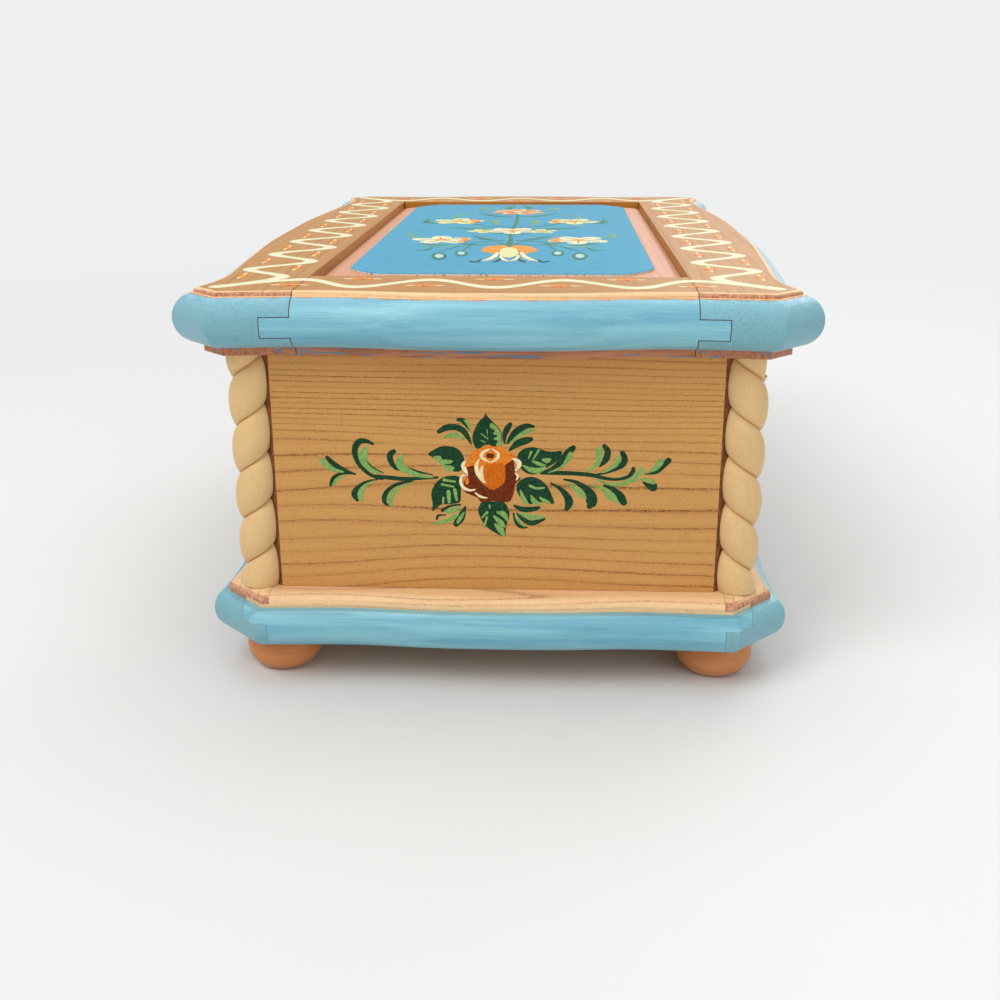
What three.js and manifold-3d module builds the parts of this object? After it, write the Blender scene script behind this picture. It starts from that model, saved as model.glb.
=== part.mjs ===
// A painted wooden music box: a chest on bun feet with a moulded lid and a comb movement inside.
// Millimetres. +X runs along the chest, -Y is its front, +Z is up.
// The origin is on the floor, under the middle of the chest.

import * as THREE from "three";
import { mergeVertices } from "three/addons/utils/BufferGeometryUtils.js";
import Module from "manifold-3d";

const wasm = await Module();
wasm.setup();

// Chest walls
const bodyLength = 286;
const bodyWidth = 159;
const wallHeight = 75.8;
const wallThickness = 9;
const wallChamfer = 11.3;

// Gaps between neighbours
const seam = 0.1;
const softGap = 0.3;
const lidGap = 0.3;
const runningGap = 0.15;
const overrun = 2;

// Bun feet
const footHeight = 13.5;
const footDiameter = 24.5;
const footTopDiameter = 17;
const footPadDiameter = 15;
const footInset = 9;

// Base frame, with a torus edge under a wooden bead
const baseThickness = 16.75;
const baseOverhang = 12.5;
const baseChamfer = 16.6;
const baseRailWidth = 20.7;
const baseTorusHeight = 13.6;
const baseTorusProud = 5;
const baseBeadInset = 4.6;
const baseBeadHeight = 4.2;
const baseBeadRadius = 3.2;
const baseSideDip = 1.5;
const baseSideBulge = 0.8;
const baseEndDip = 1.2;
const baseEndBulge = 0.6;
const baseTorusEndShare = 0.3125;
const boardThickness = 8;
const boardTongueThickness = 5;

// Lid frame, with a wooden fillet over a torus over a strip
const lidThickness = 19;
const lidOverhang = 15.75;
const lidChamfer = 13;
const lidRailWidth = 36.9;
const lidStripInset = 7.5;
const lidStripHeight = 2.6;
const lidTorusHeight = 15;
const lidTorusProud = 6.5;
const lidFilletInset = 5.9;
const lidFilletRadius = 1.2;
const lidSideDip = 4.1;
const lidSideBulge = 1.6;
const lidEndDip = 2.6;
const lidEndBulge = 1.4;
const lidTorusStartShare = -0.465;
const lidTorusEndShare = 0.435;

// Grooves and stub tenons of both frames
const grooveDepth = 8.7;
const grooveWidth = 6.3;
const lidGrooveHeight = 6.2;

// Raised panel of the lid
const fieldMargin = 8.8;
const fieldEndMargin = 6.5;
const fieldShoulderDepth = 15;
const fieldShoulderWidth = 12.5;
const fieldStep = 0.8;
const fieldDrop = 0.4;
const bevelRise = 2.2;

// Twisted half columns
const columnRadius = 6.95;
const columnCreaseRadius = 4.3;
const columnSetOut = 1.55;
const columnPitch = 15.2;
const columnLead = 19.5;
const columnCreaseHeight = 5.4;
const swingReliefHeight = 7.5;
const swingReliefStandOff = 0.4;

// Hinges
const hingeInset = 58;
const leafLength = 30;
const leafWidth = 7.5;
const leafThickness = 1.2;
const knuckleRadius = 2;
const hingePinRadius = 0.9;
const knuckleCount = 5;
const hingeStandOff = knuckleRadius + softGap;

// Inside of the chest
const movementMargin = 8;
const partitionThickness = 6;
const partitionDrop = 5;
const liningThickness = 3;
const liningDrop = 14;
const glassThickness = 2.5;
const glassHeight = 40;
const ledgeSection = 5;

// Bedplate of the movement
const plateThickness = 3;
const plateEndMargin = 5.1;
const plateFrontMargin = 2.8;
const plateBackMargin = 1.7;
const plateCornerRadius = 4;

// Pinned cylinder and its arbor
const cylinderRadius = 10;
const cylinderLength = 40;
const cylinderLift = 3;
const pinHeight = 0.9;
const pinWidth = 0.6;
const pinColumns = 16;
const pinsPerColumn = 5;
const pinTurnShare = 0.382;
const cylinderArborRadius = 1.4;
const pinionTeeth = 12;
const crownTeeth = 48;
const pinionFace = 2;
const pinionTipRadius = 4.1;
const pinionRootRadius = 2.5;
const cylinderWheelTeeth = 48;
const wheelModule = 0.45;
const wheelFace = 1.6;
const wheelGap = 0.8;
const addendumShare = 0.8;
const dedendumShare = 1.2;
const toothTipShare = 0.1;
const pinionTipShare = 0.09;

// Comb
const combTeeth = 36;
const combThickness = 1.2;
const combSlot = 0.35;
const combLength = 26;
const combLongTooth = 18;
const combShortTooth = 11;
const combTipGap = 0.3;
const combBlockDepth = 7.5;

// Spring barrel, ratchet and winding key
const barrelRadius = 15.5;
const barrelInset = 2;
const barrelSideGap = 0.6;
const barrelFloorGap = 0.6;
const barrelCoverThickness = 1;
const barrelWall = 1.2;
const crownTooth = 1.2;
const crownToothWidth = 0.6;
const crownToothLength = 2;
const crownToothInset = 0.35;
const crownRootGap = 0.3;
const springTurns = 5;
const springStrip = 0.5;
const springHubRadius = 3;
const arborRadius = 2;
const arborPivotRadius = 1.4;
const arborHoleRadius = 4;
const ratchetTeeth = 12;
const ratchetRadius = 6;
const ratchetToothDepth = 1;
const ratchetThickness = 1;
const ratchetGap = 0.3;
const clickArm = 8;
const clickBossRadius = 1.7;
const clickPinRadius = 0.7;
const clickNoseHeight = 1.3;
const clickHeel = 2.5;
const clickHeelLift = 0.6;
const clickBossArcShare = 0.6;
const keyHubRadius = 3.5;
const keyHubHeight = 7;
const keyWingSpan = 24;
const keyWingHeight = 11;
const keyWingThickness = 1.6;
const keyBoardGap = 1;

// Bridges, governor and brake
const bridgeThickness = 2;
const bridgeHalfWidth = 4;
const bridgeRim = 3.4;
const bridgeInnerGap = 0.8;
const rightBridgeGap = 2.7;
const barrelBridgeThickness = 2;
const barrelBridgeGap = 1.8;
const barrelPostDepth = 5;
const barrelPostGap = 1;
const secondPinionTeeth = 12;
const secondWheelTeeth = 24;
const secondWheelRadius = 6;
const secondWheelFace = 1.4;
const secondWheelGap = 1.9;
const secondArborRadius = 0.9;
const trainCockThickness = 2;
const trainCockHalfWidth = 1.6;
const trainCockGap = 3.2;
const wormPitchRadius = 1.8;
const wormCoreRadius = 1.1;
const wormThreadRadius = 0.42;
const wormThreadLift = 0.2;
const wormTurns = 3;
const flyShaftRadius = 0.7;
const flyWingSpan = 15;
const flyWingHeight = 5;
const flyWingThickness = 0.5;
const flyWingLift = 7.2;
const flyPivotDrop = 6;
const flyPivotRise = 13;
const governorArmThickness = 2;
const governorHalfWidth = 2.8;
const governorPostDepth = 4;
const governorPostGap = 1.5;
const governorNose = 2;
const stopRodRadius = 1;
const stopRodGap = 0.9;
const stopRodOffset = 5.3;
const rodSlotGap = 1;
const stopFingerReach = 4.5;
const stopFingerHeight = 1.2;
const stopFingerWidth = 2;
const rodGuideHeight = 8;
const rodGuideWidth = 8;
const rodGuideWall = 1.6;

// Facet counts
const sideSteps = 18;
const endSteps = 12;
const torusSteps = 6;
const filletSteps = 2;
const lobeShares = [0, 0.06, 0.25, 0.5, 0.75, 0.94];
const columnSides = 8;
const columnArcShare = 0.7;
const footSides = 18;
const footSteps = 5;
const drumSides = 36;
const barrelSides = 24;
const rodSides = 12;
const holeSides = 12;
const knuckleSides = 10;
const springSteps = 10;
const wormSteps = 8;
const threadSides = 4;
const pinSides = 4;
const shoulderSteps = 4;
const plateCornerSteps = 3;
const weldDistance = 1e-5;

// Shares of the half span, of the bulge and of the dip along an edge, from its middle to its corner
const sideWaveShares = [
  [0, 1, 0],
  [0.28, 0.7, 0],
  [0.6, 0, 0.45],
  [0.86, 0, 1],
  [1, 0, 0],
];
const endWaveShares = [
  [0, 1, 0],
  [0.26, 0.5, 0],
  [0.6, 0, 1],
  [1, 0, 0],
];

// Levels above the floor
const baseBottom = footHeight;
const baseTop = baseBottom + baseThickness;
const wallBottom = baseTop + seam;
const wallTop = wallBottom + wallHeight;
const lidBottom = wallTop + lidGap;
const lidTop = lidBottom + lidThickness;
const halfLength = bodyLength / 2;
const halfWidth = bodyWidth / 2;

// Colours and finishes
const finishes = {
  blueWood: { color: 0x73b4cd, roughness: 0.38, metalness: 0 },
  honeyWood: { color: 0xcd9b64, roughness: 0.5, metalness: 0 },
  paleWood: { color: 0xe6c896, roughness: 0.55, metalness: 0 },
  footWood: { color: 0xc8824b, roughness: 0.45, metalness: 0 },
  plainWood: { color: 0xd2b487, roughness: 0.7, metalness: 0 },
  velvet: { color: 0x7d1e28, roughness: 0.95, metalness: 0 },
  glass: { color: 0xe1ebe9, roughness: 0.05, metalness: 0, transparent: true, opacity: 0.35 },
  brass: { color: 0xc8a550, roughness: 0.35, metalness: 1 },
  steel: { color: 0xb4b6ba, roughness: 0.3, metalness: 1 },
  castPlate: { color: 0xb99a55, roughness: 0.45, metalness: 1 },
};

// Turns a closed geometry into a solid that can be joined and cut.
function solidOf(geometry) {
  const bare = geometry.clone();
  bare.deleteAttribute("normal");
  bare.deleteAttribute("uv");
  const merged = mergeVertices(bare, weldDistance);
  const corners = merged.index.array;
  const kept = [];
  for (let i = 0; i < corners.length; i += 3) {
    const [a, b, c] = [corners[i], corners[i + 1], corners[i + 2]];
    if (a !== b && b !== c && c !== a) kept.push(a, b, c);
  }
  const mesh = new wasm.Mesh({
    numProp: 3,
    vertProperties: new Float32Array(merged.attributes.position.array),
    triVerts: new Uint32Array(kept),
  });
  return new wasm.Manifold(mesh);
}

// Turns a solid back into a geometry with flat faces.
function geometryOf(solid) {
  const mesh = solid.getMesh();
  const indexed = new THREE.BufferGeometry();
  const places = [];
  for (let i = 0; i < mesh.vertProperties.length; i += mesh.numProp)
    places.push(...mesh.vertProperties.slice(i, i + 3));
  indexed.setAttribute("position", new THREE.Float32BufferAttribute(places, 3));
  indexed.setIndex([...mesh.triVerts]);
  const flat = indexed.toNonIndexed();
  flat.computeVertexNormals();
  return flat;
}

function join(first, ...others) {
  return others.reduce((whole, piece) => whole.add(piece), first);
}

function cut(first, ...others) {
  return others.reduce((rest, piece) => rest.subtract(piece), first);
}

function block(x0, x1, y0, y1, z0, z1) {
  const size = [Math.abs(x1 - x0), Math.abs(y1 - y0), Math.abs(z1 - z0)];
  const geometry = new THREE.BoxGeometry(...size);
  geometry.translate((x0 + x1) / 2, (y0 + y1) / 2, (z0 + z1) / 2);
  return solidOf(geometry);
}

// A flat outline raised from one height to another.
function slab(points, low, high) {
  const shape = new THREE.Shape(points.map(([x, y]) => new THREE.Vector2(x, y)));
  const geometry = new THREE.ExtrudeGeometry(shape, { depth: high - low, bevelEnabled: false });
  geometry.translate(0, 0, low);
  return solidOf(geometry);
}

// A revolved profile of [radius, height] pairs.
function turned(profile, sides) {
  const points = profile.map(([radius, height]) => new THREE.Vector2(radius, height));
  const geometry = new THREE.LatheGeometry(points, sides);
  geometry.rotateX(Math.PI / 2);
  return solidOf(geometry);
}

function post(radius, low, high, sides) {
  return turned([[0, low], [radius, low], [radius, high], [0, high]], sides);
}

// The same post lying along +X.
function shaft(radius, start, end, sides) {
  const geometry = new THREE.CylinderGeometry(radius, radius, end - start, sides);
  geometry.rotateZ(-Math.PI / 2);
  geometry.translate((start + end) / 2, 0, 0);
  return solidOf(geometry);
}

// Rings of [x, y, z] points, lowest first, joined into one closed skin.
function lofted(rings) {
  const count = rings[0].length;
  const places = rings.flat(2);
  const faces = [];
  for (let i = 0; i + 1 < rings.length; i += 1)
    for (let j = 0; j < count; j += 1) {
      const next = (j + 1) % count;
      const [a, b] = [i * count + j, i * count + next];
      faces.push(a, b, b + count, a, b + count, a + count);
    }
  const outline = rings[0].map(([x, y]) => new THREE.Vector2(x, y));
  const roof = rings.at(-1).map(([x, y]) => new THREE.Vector2(x, y));
  const last = (rings.length - 1) * count;
  for (const [a, b, c] of THREE.ShapeUtils.triangulateShape(outline, [])) faces.push(c, b, a);
  for (const [a, b, c] of THREE.ShapeUtils.triangulateShape(roof, []))
    faces.push(last + a, last + b, last + c);
  const geometry = new THREE.BufferGeometry();
  geometry.setAttribute("position", new THREE.Float32BufferAttribute(places, 3));
  geometry.setIndex(faces);
  return solidOf(geometry);
}

function moved(solid, x, y, z) {
  return solidOf(geometryOf(solid).translate(x, y, z));
}

// A wavy edge: its offset outward at places along the span, from one corner to the other.
function waveAlong(halfSpan, shares, bulge, dip, steps) {
  const half = shares.map(([place, up, down]) => [place * halfSpan, up * bulge - down * dip]);
  const mirrored = half.slice(1).map(([place, offset]) => [-place, offset]).reverse();
  const knots = [...mirrored, ...half].map(([place, offset]) => new THREE.Vector2(place, offset));
  return new THREE.SplineCurve(knots).getPoints(steps);
}

// The serpentine outline with cut corners, anticlockwise from the front of the right end.
function serpentine({ length, width, chamfer, sideBulge, sideDip, endBulge, endDip }) {
  const side = waveAlong(length / 2 - chamfer, sideWaveShares, sideBulge, sideDip, sideSteps);
  const end = waveAlong(width / 2 - chamfer, endWaveShares, endBulge, endDip, endSteps);
  return [
    ...end.map((p) => [length / 2 + p.y, p.x]),
    ...side.map((p) => [-p.x, width / 2 + p.y]),
    ...end.map((p) => [-length / 2 - p.y, -p.x]),
    ...side.map((p) => [p.x, -width / 2 - p.y]),
  ];
}

// The outline drawn in by one distance all round.
function drawnIn(outline, inset) {
  const count = outline.length;
  return outline.map((point, i) => {
    const before = new THREE.Vector2(...outline[(i + count - 1) % count]);
    const here = new THREE.Vector2(...point);
    const after = new THREE.Vector2(...outline[(i + 1) % count]);
    const arriving = here.clone().sub(before).normalize();
    const leaving = after.clone().sub(here).normalize();
    const along = arriving.clone().add(leaving).normalize();
    const inward = new THREE.Vector2(-along.y, along.x);
    const miter = inset / along.dot(arriving);
    return [here.x + inward.x * miter, here.y + inward.y * miter];
  });
}

// A moulded blank: the outline swept up through a profile of [inset, height] pairs.
function moulded(outline, profile, bottom) {
  const rings = profile.map(([inset, height]) =>
    drawnIn(outline, inset).map(([x, y]) => [x, y, bottom + height]),
  );
  return lofted(rings);
}

function ellipseArc(centre, radii, from, to, steps) {
  const points = [];
  for (let i = 0; i <= steps; i += 1) {
    const angle = from + ((to - from) * i) / steps;
    points.push([centre[0] - radii[0] * Math.cos(angle), centre[1] + radii[1] * Math.sin(angle)]);
  }
  return points;
}

function lidProfile() {
  const torusMiddle = lidStripHeight + lidTorusHeight / 2;
  const filletMiddle = [lidFilletInset + lidFilletRadius, lidThickness - lidFilletRadius];
  const round = [lidFilletRadius, lidFilletRadius];
  return [
    [lidStripInset, 0],
    [lidStripInset, lidStripHeight],
    ...ellipseArc(
      [lidTorusProud, torusMiddle],
      [lidTorusProud, lidTorusHeight / 2],
      Math.PI * lidTorusStartShare,
      Math.PI * lidTorusEndShare,
      torusSteps,
    ),
    [lidFilletInset, lidStripHeight + lidTorusHeight],
    ...ellipseArc(filletMiddle, round, 0, Math.PI / 2, filletSteps),
  ];
}

function baseProfile() {
  const round = [baseBeadRadius, baseBeadRadius];
  return [
    ...ellipseArc(
      [baseTorusProud, baseTorusHeight / 2],
      [baseTorusProud, baseTorusHeight / 2],
      -Math.PI / 2,
      Math.PI * baseTorusEndShare,
      torusSteps,
    ),
    [baseBeadInset, baseThickness - baseBeadHeight],
    ...ellipseArc(
      [baseBeadInset + baseBeadRadius, baseThickness - baseBeadRadius],
      round,
      0,
      Math.PI / 2,
      filletSteps,
    ),
  ];
}

// The four rails of a frame: grooved long rails, and end rails whose stub tenons fill the grooves.
function frameRails(blank, { innerX, innerY, low, high, grooveLow, grooveHigh }) {
  const reach = bodyLength;
  const floor = low - overrun;
  const roof = high + overrun;
  const rails = {};
  for (const [name, side] of [["front", -1], ["back", 1]]) {
    const inner = side * innerY;
    const groove = block(
      -reach, reach, inner - side * overrun, inner + side * grooveDepth, grooveLow, grooveHigh,
    );
    const region = block(-reach, reach, inner, side * reach, floor, roof);
    rails[name] = cut(blank.intersect(region), groove);
  }
  for (const [name, side] of [["left", -1], ["right", 1]]) {
    const inner = side * innerX;
    const shoulder = innerY - seam;
    const tenon = innerY + grooveDepth - seam;
    const region = join(
      block(inner, side * reach, -shoulder, shoulder, floor, roof),
      block(inner, side * reach, -tenon, tenon, grooveLow + seam, grooveHigh - seam),
    );
    const groove = block(
      inner - side * overrun, inner + side * grooveDepth, -reach, reach, grooveLow, grooveHigh,
    );
    rails[name] = cut(blank.intersect(region), groove);
  }
  return rails;
}

const lidFrame = {
  innerX: halfLength + lidOverhang - lidRailWidth,
  innerY: halfWidth + lidOverhang - lidRailWidth,
  low: lidBottom,
  high: lidTop,
  grooveLow: lidBottom + lidGrooveHeight,
  grooveHigh: lidBottom + lidGrooveHeight + grooveWidth,
};

const baseFrame = {
  innerX: halfLength + baseOverhang - baseRailWidth,
  innerY: halfWidth + baseOverhang - baseRailWidth,
  low: baseBottom,
  high: baseTop,
  grooveLow: baseTop - boardThickness - seam,
  grooveHigh: baseTop - boardThickness + boardTongueThickness + seam,
};

function baseRails() {
  const outline = serpentine({
    length: bodyLength + 2 * baseOverhang,
    width: bodyWidth + 2 * baseOverhang,
    chamfer: baseChamfer,
    sideBulge: baseSideBulge,
    sideDip: baseSideDip,
    endBulge: baseEndBulge,
    endDip: baseEndDip,
  });
  return frameRails(moulded(outline, baseProfile(), baseBottom), baseFrame);
}

function lidRails() {
  const outline = serpentine({
    length: bodyLength + 2 * lidOverhang,
    width: bodyWidth + 2 * lidOverhang,
    chamfer: lidChamfer,
    sideBulge: lidSideBulge,
    sideDip: lidSideDip,
    endBulge: lidEndBulge,
    endDip: lidEndDip,
  });
  const rails = frameRails(moulded(outline, lidProfile(), lidBottom), lidFrame);
  rails.back = cut(rails.back, ...hingePlaces.map(lidHingePocket));
  return rails;
}

function bottomBoard() {
  const low = baseTop - boardThickness;
  const tongue = grooveDepth - seam;
  const { innerX, innerY } = baseFrame;
  const board = block(-innerX + seam, innerX - seam, -innerY + seam, innerY - seam, low, baseTop);
  const edge = block(
    -innerX - tongue, innerX + tongue, -innerY - tongue, innerY + tongue,
    low, low + boardTongueThickness,
  );
  const hole = post(arborHoleRadius, low - overrun, baseTop + overrun, holeSides);
  return cut(join(board, edge), moved(hole, ...barrelPlace, 0));
}

function bunFoot() {
  const top = footHeight - seam;
  const bulge = footDiameter / 2;
  const profile = [[0, 0], [footPadDiameter / 2, 0]];
  const steps = footSteps;
  const low = Math.asin(footPadDiameter / footDiameter);
  const high = Math.asin(footTopDiameter / footDiameter);
  const span = Math.cos(low) + Math.cos(high);
  for (let i = 1; i < steps; i += 1) {
    const angle = low + ((Math.PI - high - low) * i) / steps;
    profile.push([bulge * Math.sin(angle), (top * (Math.cos(low) - Math.cos(angle))) / span]);
  }
  profile.push([footTopDiameter / 2, top], [0, top]);
  return turned(profile, footSides);
}

// One mitred wall: outline of the long or short side, drawn for the side that faces -Y.
function wallOutline(length, width) {
  const end = length / 2;
  const face = -width / 2;
  const middle = wallChamfer / 2;
  return [
    [-end + wallChamfer, face],
    [end - wallChamfer, face],
    [end - middle - seam, face + middle],
    [end - wallThickness - seam, face + wallThickness],
    [-end + wallThickness + seam, face + wallThickness],
    [-end + middle + seam, face + middle],
  ];
}

function frontWall() {
  return slab(wallOutline(bodyLength, bodyWidth), wallBottom, wallTop);
}

function backWall() {
  const outline = wallOutline(bodyLength, bodyWidth).map(([x, y]) => [-x, -y]);
  const wall = slab(outline, wallBottom, wallTop);
  return cut(wall, ...hingePlaces.map(wallHingePocket));
}

function endWall(side) {
  const outline = wallOutline(bodyWidth, bodyLength).map(([x, y]) => [-side * y, side * x]);
  return slab(outline, wallBottom, wallTop);
}

// A rope-like column with one strand, facing +X. It is cut flat at both ends, and behind its axis
// where it lies on the chamfer of the walls.
function twistedColumn(hand) {
  const depth = columnRadius - columnCreaseRadius;
  const turns = Math.ceil(wallHeight / columnPitch) + 2;
  const sections = [];
  for (let turn = -1; turn < turns; turn += 1)
    for (const share of lobeShares) {
      const swell = Math.sqrt(1 - (2 * share - 1) ** 2);
      sections.push([(turn + share) * columnPitch, columnCreaseRadius + depth * swell]);
    }
  const silhouette = -Math.PI / 4;
  const rows = sections.map(([height, radius]) => {
    const row = [];
    for (let j = 0; j <= columnSides; j += 1) {
      const angle = 2 * Math.PI * columnArcShare * (j / columnSides - 0.5);
      const rise = (columnLead * (angle - silhouette)) / (2 * Math.PI);
      const z = wallBottom + columnCreaseHeight + height + rise;
      row.push([radius * Math.cos(angle), hand * radius * Math.sin(angle), z]);
    }
    return hand > 0 ? row : row.reverse();
  });
  const rod = lofted(rows);
  const reach = columnRadius + overrun;
  return rod.intersect(block(-columnSetOut, reach, -reach, reach, wallBottom, wallTop));
}

// The room that the open lid's back rail needs at the top of a back column, seen from that column.
function swingRelief([x, y], facing) {
  const reach = halfLength + columnRadius;
  const near = halfWidth + swingReliefStandOff;
  const low = wallTop - swingReliefHeight;
  const room = block(-reach, reach, near, near + columnRadius, low, wallTop + overrun);
  return solidOf(geometryOf(room).translate(-x, -y, 0).rotateZ(-facing));
}

// Field of the raised panel: one quarter from the middle of the end to the middle of the side.
function panelQuarter() {
  const { innerX, innerY } = lidFrame;
  const fieldX = innerX - fieldEndMargin;
  const fieldY = innerY - fieldMargin;
  const shoulderX = fieldX - fieldShoulderDepth;
  const shoulderY = fieldY - fieldShoulderWidth;
  const quarter = [[fieldX, shoulderY]];
  for (let i = 1; i <= shoulderSteps; i += 1) {
    const turn = (Math.PI / 2) * (i / shoulderSteps);
    quarter.push([
      fieldX - fieldShoulderDepth * (1 - Math.cos(turn)),
      shoulderY + fieldShoulderWidth * Math.sin(turn),
    ]);
  }
  return quarter.map(([x, y]) => ({
    field: [x, y],
    edge: [innerX - seam, (y * (innerY - seam)) / fieldY],
    corner: x === shoulderX,
  }));
}

function lidPanel() {
  const quarter = panelQuarter();
  const around = [
    ...quarter.map((p) => [p, 1, 1]),
    ...[...quarter].reverse().map((p) => [p, -1, 1]),
    ...quarter.map((p) => [p, -1, -1]),
    ...[...quarter].reverse().map((p) => [p, 1, -1]),
  ];
  const ring = (kind, z) => around.map(([p, sx, sy]) => [sx * p[kind][0], sy * p[kind][1], z]);
  const low = lidFrame.grooveLow + seam;
  const tongueTop = lidFrame.grooveHigh - seam;
  const fieldTop = lidTop - fieldDrop;
  const bevelTop = fieldTop - fieldStep;
  const raised = lofted([
    ring("edge", low),
    ring("edge", bevelTop - bevelRise),
    ring("field", bevelTop),
    ring("field", fieldTop),
  ]);
  const reachX = lidFrame.innerX + grooveDepth - softGap;
  const reachY = lidFrame.innerY + grooveDepth - softGap;
  return join(raised, block(-reachX, reachX, -reachY, reachY, low, tongueTop));
}

// Hinges: their axis runs along X just outside the back wall, level with the top of the wall.
const hingeAxisY = halfWidth + hingeStandOff;
const hingeAxisZ = wallTop + lidGap / 2;
const hingePlaces = [-halfLength + hingeInset, halfLength - hingeInset];
const pocketLength = leafLength / 2 + softGap;

function wallHingePocket(x) {
  return block(
    x - pocketLength, x + pocketLength,
    halfWidth - leafWidth, halfWidth + overrun,
    wallTop - leafThickness, wallTop + overrun,
  );
}

function lidHingePocket(x) {
  const room = knuckleRadius + softGap;
  const leaf = block(
    x - pocketLength, x + pocketLength,
    halfWidth - leafWidth, hingeAxisY,
    lidBottom - overrun, lidBottom + leafThickness,
  );
  const knuckles = block(
    x - pocketLength, x + pocketLength,
    hingeAxisY - room, hingeAxisY + room,
    lidBottom - overrun, hingeAxisZ + room,
  );
  return join(leaf, knuckles);
}

// One leaf about its own axis, lying towards -Y, with every other knuckle.
function hingeLeaf(low, high, first) {
  const pitch = leafLength / knuckleCount;
  const room = knuckleRadius + softGap;
  const reach = hingeAxisY - halfWidth + leafWidth - seam;
  let leaf = block(-leafLength / 2, leafLength / 2, -reach, -room, low, high);
  for (let i = first; i < knuckleCount; i += 2) {
    const start = -leafLength / 2 + i * pitch + seam;
    const end = start + pitch - 2 * seam;
    leaf = join(
      leaf,
      block(start, end, -room - seam, 0, low, high),
      shaft(knuckleRadius, start, end, knuckleSides),
    );
  }
  const bore = hingePinRadius + runningGap;
  return cut(leaf, shaft(bore, -leafLength, leafLength, knuckleSides));
}

// Movement frame: its origin is under the left end of the bedplate, on the cylinder's line.
const movementX = -halfLength + wallThickness + movementMargin;
const movementZ = wallBottom;
const barrelX = barrelInset + barrelRadius;
const barrelPlace = [movementX + barrelX, 0];
const leftBridgeStart = barrelX + barrelRadius + barrelSideGap;
const drumStart = leftBridgeStart + bridgeThickness + bridgeInnerGap;
const drumEnd = drumStart + cylinderLength;
const wheelStart = drumEnd + wheelGap;
const trainCockEnd = wheelStart - trainCockGap;
const rightBridgeStart = wheelStart + wheelFace + rightBridgeGap;
const secondWheelStart = rightBridgeStart + bridgeThickness + secondWheelGap;
const flyX = secondWheelStart + secondWheelFace / 2;
const plateLength = flyX + governorHalfWidth + plateEndMargin;
const movementRoom = plateLength + 2 * movementMargin;
const roomLeft = -movementMargin;
const roomRight = plateLength + movementMargin;

// Its places across the bedplate and above it
const pinTip = cylinderRadius + pinHeight;
const combTip = -(pinTip + combTipGap);
const combBack = combTip - combLength;
const secondY = (wheelModule * (cylinderWheelTeeth + secondPinionTeeth)) / 2;
const flyY = secondY + secondWheelRadius + wormPitchRadius;
const governorBack = flyWingSpan / 2 + governorPostGap + governorPostDepth;
const stopRodX = flyX + flyWingSpan / 2 + stopRodGap;
const stopRodY = flyY - stopRodOffset;
const plateFront = combBack - plateFrontMargin;
const plateBack = flyY + governorBack + plateBackMargin;
const plateTop = plateThickness;
const axisZ = plateTop + cylinderLift + pinTip;
const crownMiddle = barrelRadius - crownToothInset - crownToothLength / 2;
const wingLow = axisZ + flyWingLift;
const wingHigh = wingLow + flyWingHeight;

// A toothed outline: a flat tip of a given share of each tooth's angle, and one root point.
function toothed(teeth, tip, root, tipShare, start) {
  const step = (2 * Math.PI) / teeth;
  const points = [];
  const polar = (radius, angle) => [radius * Math.cos(angle), radius * Math.sin(angle)];
  for (let i = 0; i < teeth; i += 1) {
    const middle = start + i * step;
    points.push(polar(root, middle - step / 2));
    points.push(polar(tip, middle - tipShare * step));
    points.push(polar(tip, middle + tipShare * step));
  }
  return points;
}

// A toothed outline extruded along +X, with local x of the outline along +Y.
function wheelAlongX(points, start, end) {
  const shape = new THREE.Shape(points.map(([y, z]) => new THREE.Vector2(y, z)));
  const geometry = new THREE.ExtrudeGeometry(shape, { depth: end - start, bevelEnabled: false });
  geometry.rotateZ(Math.PI / 2);
  geometry.rotateY(Math.PI / 2);
  geometry.translate(start, 0, 0);
  return solidOf(geometry);
}

function bedplate() {
  const middle = [plateLength / 2, (plateFront + plateBack) / 2];
  const ends = plateLength / 2 - plateCornerRadius;
  const sides = (plateBack - plateFront) / 2 - plateCornerRadius;
  const points = [];
  const corners = [[1, -1, -Math.PI / 2], [1, 1, 0], [-1, 1, Math.PI / 2], [-1, -1, Math.PI]];
  for (const [sx, sy, from] of corners)
    for (let i = 0; i <= plateCornerSteps; i += 1) {
      const angle = from + ((Math.PI / 2) * i) / plateCornerSteps;
      points.push([
        middle[0] + sx * ends + plateCornerRadius * Math.cos(angle),
        middle[1] + sy * sides + plateCornerRadius * Math.sin(angle),
      ]);
    }
  const hole = post(arborRadius + softGap, -overrun, plateThickness + overrun, holeSides);
  return cut(slab(points, 0, plateThickness), moved(hole, barrelX, 0, 0));
}

// Pins stand in rings along the cylinder, each ring turned on by a step that never repeats soon.
function pinnedCylinder() {
  const pitch = cylinderLength / pinColumns;
  let drum = shaft(cylinderRadius, drumStart, drumEnd, drumSides);
  for (let i = 0; i < pinColumns; i += 1)
    for (let k = 0; k < pinsPerColumn; k += 1) {
      const pin = new THREE.ConeGeometry(pinWidth, pinHeight * 2, pinSides);
      pin.translate(0, cylinderRadius, 0);
      const turn = (k + ((i * pinTurnShare) % 1) * Math.cos(k * i)) / pinsPerColumn;
      pin.rotateX(2 * Math.PI * turn);
      pin.translate(drumStart + (i + 0.5) * pitch, 0, 0);
      drum = join(drum, solidOf(pin));
    }
  const bore = cylinderArborRadius + seam;
  return cut(drum, shaft(bore, drumStart - overrun, drumEnd + overrun, rodSides));
}

function cylinderArbor() {
  const start = barrelX + crownMiddle - pinionFace / 2;
  const end = rightBridgeStart + bridgeThickness + seam;
  const pinion = toothed(
    pinionTeeth, pinionTipRadius, pinionRootRadius, pinionTipShare, -Math.PI / 2,
  );
  return join(
    shaft(cylinderArborRadius, start, end, rodSides),
    wheelAlongX(pinion, start, start + pinionFace),
  );
}

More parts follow.
